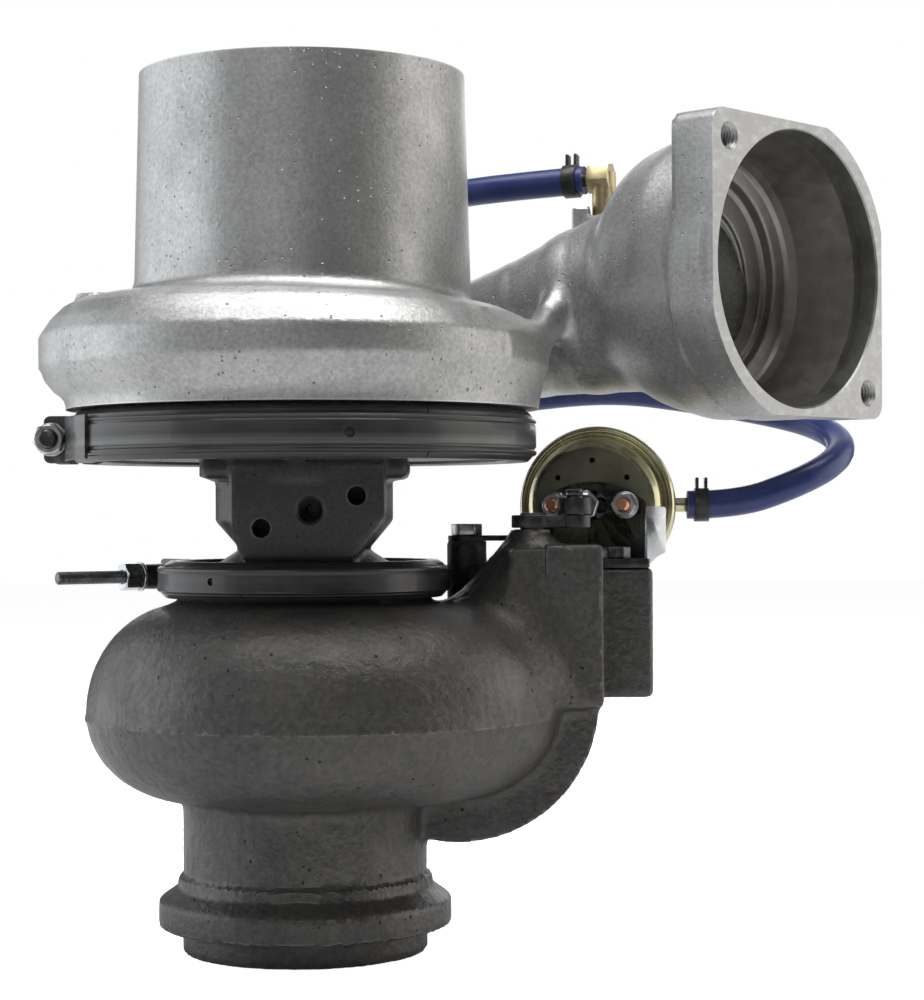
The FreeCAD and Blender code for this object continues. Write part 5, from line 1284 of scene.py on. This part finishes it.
def buildBand(name, v):
    joint, angle = v["joint"], v["angle"]
    root, slot = v["flange"] - 5.9, v["edge"] + 0.1
    low, high, inner = v["low"], v["high"], v["inner"]
    section = softCorners([(v["flange"] + 0.3, -slot), (root, -slot - 2.6), (root, low + 0.8),
                           (root + 3, low),
                           (inner - 2.2, low), (inner - 0.1, low + 2.2), (inner - 0.1, high - 3.4),
                           (inner - 1.6, high - 1.6), (inner - 4.0, high), (root, high), (root, slot + 2.6),
                           (v["flange"] + 0.3, slot)], 0.7, 3)
    arcs = [arcSweep("arc", section, angle + 8 + 116 * i, 115.6, 96, height=joint) for i in range(3)]
    retainers = joined(name + "BandRetainers", arcs)
    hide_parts(name + "_band_retainers")
    finish(retainers, "band_steel")

    outline = softCorners([(inner + 0.05 + r, z) for r, z in v["strap"]], 0.35, 3)
    strap = arcSweep(name + "BandStrap", outline, angle + v["gap"], 360 - 2 * v["gap"], 200, height=joint)
    holeAngle, holeRadius = v["hole"]
    combine(strap, [lathe("hole", [(0, -6), (holeRadius, -6), (holeRadius, 4), (0, 4)],
                          polar(inner, holeAngle, joint), polar(1, holeAngle), body=None, segments=32)],
                          angle=28.0)
    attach(strap, "housings")
    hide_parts(name + "_band_strap")
    finish(strap, "band_steel")

    tangent, radial = polar(1, angle + 90), polar(1, angle)
    lugInner, width, thick, reach = v["lug"]
    middle = radial * v["boltLine"] + upward * joint
    outer, lugs = inner + 1.9, []
    for side in (-1, 1):
        base = tangent * (side * reach - thick / 2) + upward * joint
        corners = [(lugInner, low), (lugInner + width, low), (lugInner + width, -low), (lugInner, -low)]
        plate = prism("plate", softCorners(corners, (0.2, 3, 3, 0.2), 4), -thick, base, radial, upward, None,
                      0.5)
        sleeve = lathe("sleeve", softCorners([(v["bolt"] + 0.4, -thick), (v["bolt"] + 3, -thick),
                                              (v["bolt"] + 3, thick),
                                              (v["bolt"] + 0.4, thick)], 0.5),
                                              middle + tangent * side * reach, tangent,
                       48, None)
        shank = lathe("shank", [(0, -20), (v["bolt"] + 0.3, -20), (v["bolt"] + 0.3, 20), (0, 20)],
                      middle + tangent * side * reach, tangent, 48, None)
        drum = lathe("drum", [(0, joint - 20), (outer - 0.3, joint - 20), (outer - 0.3, joint + 20),
                              (0, joint + 20)],
                     segments=200, body=None)
        combine(plate, [shank, drum], angle=28.0)
        start = angle + side * (math.degrees(math.asin(min(reach / outer, 1.0))) - 1.0)
        ear = arcSweep("ear", softCorners([(outer, low + 1), (outer + 1.5, low + 1), (outer + 1.5, -low - 1),
                                           (outer, -low - 1)], 0.5), min(start, start + side * v["wrap"]),
                                           v["wrap"],
                       32, None, height=joint)
        lugs += [plate, sleeve, ear]
    if v["spacer"]:
        lugs.append(lathe("spacer", softCorners([(v["bolt"] + 0.4, 0), (6.4, 0), (6.0, v["spacer"]),
                                                 (v["bolt"] + 0.4, v["spacer"])], 0.8),
                          middle + tangent * (reach + thick - 0.5), tangent, 48, None))
    lugs = joined(name + "BandLugs", lugs)
    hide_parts(name + "_band_lugs")
    finish(lugs, "band_steel")

    head = middle - tangent * (reach + thick + 3.0)
    shaft = threadedRod("shaft", head, tangent, v["bolt"], v["boltLength"], v["pitch"], 14.0, 0.45, None)
    bar = lathe("bar", softCorners([(0, low + 2), (v["bolt"] + 1.6, low + 2), (v["bolt"] + 1.6, -low - 2),
                                    (0, -low - 2)],
                                   (0, 0.8, 0.8, 0)), head + tangent * 1.2, upward, 40, None)
    bolt = joined(name + "BandBolt", [shaft, bar])
    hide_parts(name + "_band_bolt")
    finish(bolt, "dark_steel")

    seat = middle + tangent * (reach + thick + v["spacer"])
    across, tall = v["nut"]
    washer = lathe("washer", softCorners([(v["bolt"] + 0.2, 0), (across * 0.6, 0), (across * 0.6, 1.5),
                                          (v["bolt"] + 0.2, 1.5)], 0.4), seat, tangent, 64, None)
    nut = joined(name + "BandNut", [washer, hexNut("hex", seat + tangent * 1.6, tangent, across, tall,
                                                   v["bolt"] - 0.15,
                                                  None, spin=17)])
    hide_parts(name + "_band_nut")
    finish(nut, "zinc_steel")


# actuator
canValues = {
    "centre": (141.4, 60.0, 207.4), "turn": 15.6, "rim": 38.9, "face": 29.0, "front": 12.0, "rear": 30.0,
    "studSpacing": 35.0, "studRadius": 3.2, "plate": 4.3, "holes": (90, 38, 142), "holeCircle": 22.0,
}
canTurn = math.radians(canValues["turn"])
canAxis = np.array((-math.sin(canTurn), -math.cos(canTurn), 0.0))
canSide = np.array((math.cos(canTurn), -math.sin(canTurn), 0.0))
canCentre = np.array(canValues["centre"])


def buildCans():
    v = canValues
    rim, depth = v["rim"], v["front"]
    front = softCorners([(rim - 2.5, 0.15), (rim, 0.15), (rim + 0.1, 2.0), (rim - 0.9, 3.3),
                         (rim - 2.6, 3.4),
                         (rim - 3.4, 2.2), (rim - 4.6, 2.6), (rim - 5.8, depth - 3.6),
                         (v["face"] + 1.7, depth - 0.9),
                         (v["face"] - 0.6, depth), (7.4, depth), (7.4, depth - 1.4),
                         (v["face"] - 1, depth - 1.4),
                         (v["face"] + 0.5, depth - 2.4), (rim - 7.2, depth - 4.6), (rim - 6.0, 1.6),
                         (rim - 4.4, 1.2), (rim - 2.5, 1.3)],
                        (0.1, 0.9, 1, 1, 1, 0.6, 1, 2, 2.5, 0.8, 0.3, 0.3, 1, 1, 1, 1, 0.5, 0.1), 4)
    shell = lathe("actuatorFrontCan", front, canCentre, canAxis, 160, None)
    cutters = []
    for angle in v["holes"]:
        turn, circle = math.radians(angle), v["holeCircle"]
        spot = canCentre + canSide * (circle * math.cos(turn)) + upward * (circle * math.sin(turn))
        cutters.append(lathe("hole", [(0, 2), (1.4, 2), (1.4, 20), (0, 20)], spot, canAxis, 24, None))
    for side in (-1, 1):
        cutters.append(lathe("stud", [(0, 2), (3.2, 2), (3.2, 20), (0, 20)],
                             canCentre + canSide * side * v["studSpacing"] / 2, canAxis, 32, None))
    combine(shell, cutters, angle=28.0)
    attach(shell, "housings")
    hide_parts("actuator_front_can")
    finish(shell, "yellow_zinc", "aged_zinc")
    finishFacesWhere(shell, lambda spots: ((spots - canCentre) @ canAxis > depth - 2.0)
             & (np.linalg.norm(np.cross(spots - canCentre, canAxis), axis=1) < v["face"] - 0.2))
    deep = -v["rear"]
    rear = softCorners([(rim, -0.15), (rim + 0.1, -2.2), (rim - 1.0, -3.6), (rim - 3.4, -4.2),
                        (rim - 4.0, deep + 8),
                        (rim - 8.0, deep + 1.5), (rim - 13, deep), (0, deep), (0, deep + 1.4),
                        (rim - 13.4, deep + 1.4),
                        (rim - 9.4, deep + 2.8), (rim - 5.6, deep + 8.4), (rim - 5.2, -3.2),
                        (rim - 2.5, -1.5),
                        (rim - 2.5, -0.15)], (0.2, 0.9, 1, 1.2, 4, 4, 3, 0, 0, 2, 3, 3, 1, 0.3, 0.1), 4)
    back = lathe("actuatorRearCan", rear, canCentre, canAxis, 160)
    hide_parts("actuator_rear_can")
    finish(back, "yellow_zinc")


def buildActuatorFixings():
    v = canValues
    studs, nuts = [], []
    for side in (-1, 1):
        spot = canCentre + canSide * side * v["studSpacing"] / 2
        studs.append(threadedRod("stud", spot + canAxis * (v["front"] - 3), canAxis, v["studRadius"], 18,
                                 1.0, 0, 0.4,
                                 None))
        nuts.append(hexNut("nut", spot + canAxis * (v["front"] + v["plate"]), canAxis, 11, 5.4,
                           v["studRadius"] - 0.1,
                           None, 6.6, 13 + 20 * side))
    studs = joined("actuatorStuds", studs)
    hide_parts("actuator_studs")
    finish(studs, "copper_stud")
    nuts = joined("actuatorNuts", nuts)
    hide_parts("actuator_nuts")
    finish(nuts, "zinc_steel")


# a merged copy of a CAD node with its edges rounded, for plates and fittings
def softened(name, node, slot, width, body="housings", limit=40.0):
    source = frame["nodes"][node]
    work = bmesh.new()
    work.from_mesh(source.data)
    bmesh.ops.remove_doubles(work, verts=work.verts, dist=1e-6)
    bmesh.ops.dissolve_limit(work, angle_limit=math.radians(1.0), verts=work.verts, edges=work.edges)
    mesh = bpy.data.meshes.new(name)
    work.to_mesh(mesh)
    work.free()
    piece = bpy.data.objects.new(name, mesh)
    bpy.context.scene.collection.objects.link(piece)
    modifier = piece.modifiers.new("bevel", "BEVEL")
    modifier.width = width * mm
    modifier.segments = 2
    modifier.limit_method = "ANGLE"
    modifier.angle_limit = math.radians(limit)
    modifier.use_clamp_overlap = True
    bake(piece)
    shade(piece, 30.0)
    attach(piece, body)
    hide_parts(node)
    return finish(piece, slot)


bracketValues = {
    "foot": 177.3, "half": 27.2, "shoulder": 209.0, "top": 219.4, "thick": 4.3, "boss": (76.5, 31.0, 190.4),
    "block": 139.2,
}


# an upright plate with a bowed top, a foot, a bent cheek and an arm to the left boss
def buildBracket():
    v = bracketValues
    centreZ, half, thick = canCentre[2], v["half"], v["thick"]
    rise, bow = v["top"] - centreZ, v["top"] - v["shoulder"]
    bend = (half * half + bow * bow) / (2 * bow)
    turn = np.linspace(math.asin(half / bend), -math.asin(half / bend), 25)
    arch = [(bend * math.sin(a), rise - bend + bend * math.cos(a)) for a in turn]
    low = v["foot"] - centreZ
    outline = [(-half, low), (half, low)] + arch
    flipped = [(-across, up) for across, up in outline]
    upright = prism("upright", flipped, thick, canCentre + canAxis * canValues["front"], -canSide, upward,
                    None, 0.5)
    holes = [lathe("hole", [(0, 5), (r, 5), (r, 25), (0, 25)], canCentre + canSide * offset, canAxis, 40,
                   None)
             for offset, r in ((-17.5, 3.25), (17.5, 3.25), (0, 7.2))]
    combine(upright, holes, angle=28.0)
    middle = canCentre + canAxis * (canValues["front"] + thick / 2)
    right, left = middle + canSide * half, middle - canSide * half
    footPlate = prism("foot", softCorners([(v["block"] + 1.5, 16), (right[0], 16), (right[0], right[1]),
                                           (left[0] + 10, left[1] - 3), (v["block"] + 1.5, 34)], 1.5, 4),
                      thick, (0, 0, v["foot"]), (1, 0, 0), (0, 1, 0), None, 0.5)
    bossX, bossY, bossZ = v["boss"]
    arm = prism("arm", softCorners([(bossX - 9, bossY - 9), (left[0] + 3, bossY - 9),
                                    (left[0] + 6, left[1] - 1),
                                    (left[0] - 3, left[1] + 1), (left[0] - 5, bossY + 9),
                                    (bossX - 9, bossY + 9)],
                                   [8, 2, 1, 1, 3, 8], 6), 2.6, (0, 0, bossZ), (1, 0, 0), (0, 1, 0), None,
                                   0.4)
    plate = joined("actuatorBracket", [upright, footPlate, arm])
    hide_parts("actuator_bracket")
    finish(plate, "black_steel")
    start, end = middle + canSide * (half - 1), canCentre + canSide * 33.5 + canAxis * 6.5
    cheek = prism("bracketCheek", softCorners([(0, v["foot"] + 2), (11.5, v["foot"] + 7), (11.5, 206.5),
                                               (0, 206.5)],
                                              (0.3, 2, 1.5, 0.3), 4), 2.4, (start[0], start[1], 0),
                  (end - start) / np.linalg.norm(end - start), upward, "housings", 0.4)
    finish(cheek, "zinc_steel")
    bolts = softened("bracketBolts", "bracket_bolts", slotOf["bracket_bolts"], 0.5)
    finish(bolts, slotOf["bracket_bolts"], "zinc_steel")
    finishFacesWhere(bolts, lambda spots: spots[:, 0] < 100)


softenedNodes = (
    ("wastegateLever", "wastegate_lever", 0.6),
    ("rodEnd", "actuator_rod_end", 0.4), ("boostFitting", "boost_fitting", 0.4),
    ("hoseClamps", "hose_clamps", 0.25), ("actuatorNipple", "actuator_nipple", 0.3),
    ("leverPin", "lever_pin", 0.4), ("compressorWheelNut", "compressor_wheel_nut", 0.5),
    ("rodLocknut", "rod_locknut", 0.4),
    ("wastegateBushing", "wastegate_bushing", 0.4), ("wastegateShaft", "wastegate_shaft", 0.4),
)
bodyOf = {name: body for body, names in frame["record"]["behaviour"]["bodies"].items() for name in names}
slotOf = {part["node"]: part["material_slot"] for part in frame["record"]["subparts"]}

# hose
hoseRoute = [
    (137.0, 78.0, 371.0), (103.0, 92.0, 370.0), (66.0, 112.0, 368.0), (28.0, 132.0, 363.0),
    (-10.0, 148.0, 344.0), (-20.0, 153.0, 302.0), (8.0, 156.0, 266.0), (56.0, 157.0, 257.0),
    (106.0, 155.0, 265.0), (156.0, 154.0, 269.5), (201.0, 157.0, 263.5), (240.0, 156.0, 256.5),
    (263.0, 139.0, 249.0), (272.0, 112.0, 239.0), (263.0, 85.0, 228.0), (240.0, 71.5, 217.0),
    (212.0, 71.5, 207.4), (187.0, 71.5, 207.4),
]
hoseValues = {"radius": 7.1, "length": 0.653}


def buildHose():
    curve = bpy.data.curves.new("boostHose", "CURVE")
    curve.dimensions = "3D"
    spline = curve.splines.new("NURBS")
    spline.points.add(len(hoseRoute) - 1)
    for point, place in zip(spline.points, hoseRoute):
        point.co = (place[0] * mm, place[1] * mm, place[2] * mm, 1.0)
        point.radius = hoseValues["radius"] * mm
    spline.order_u = 3
    spline.use_endpoint_u = True
    spline.resolution_u = 12
    curve.bevel_depth = 1.0
    curve.bevel_resolution = 8
    curve.use_fill_caps = True
    hose = bpy.data.objects.new("boostHose", curve)
    bpy.context.scene.collection.objects.link(hose)
    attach(hose, "housings")
    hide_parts("boost_hose")
    curve.materials.append(finishes["blue_hose"])
    return hose

# order of work
addCamera(cameraValues)
addLights(lightValues)
addFloor()
buildHose()
print("hose laid")
buildCompressorHousing()
buildTurbineHousing()
buildBearingHousing()
print("castings made")
buildWheels()
for bandName, values in bandValues.items():
    buildBand(bandName, values)
print("wheels and bands made")
buildCans()
buildActuatorFixings()
buildBracket()
for name, node, width in softenedNodes:
    softened(name, node, slotOf[node], width, bodyOf[node])
print("actuator and fixings made")
for name, node in frame["nodes"].items():
    finish(node, slotOf[name])
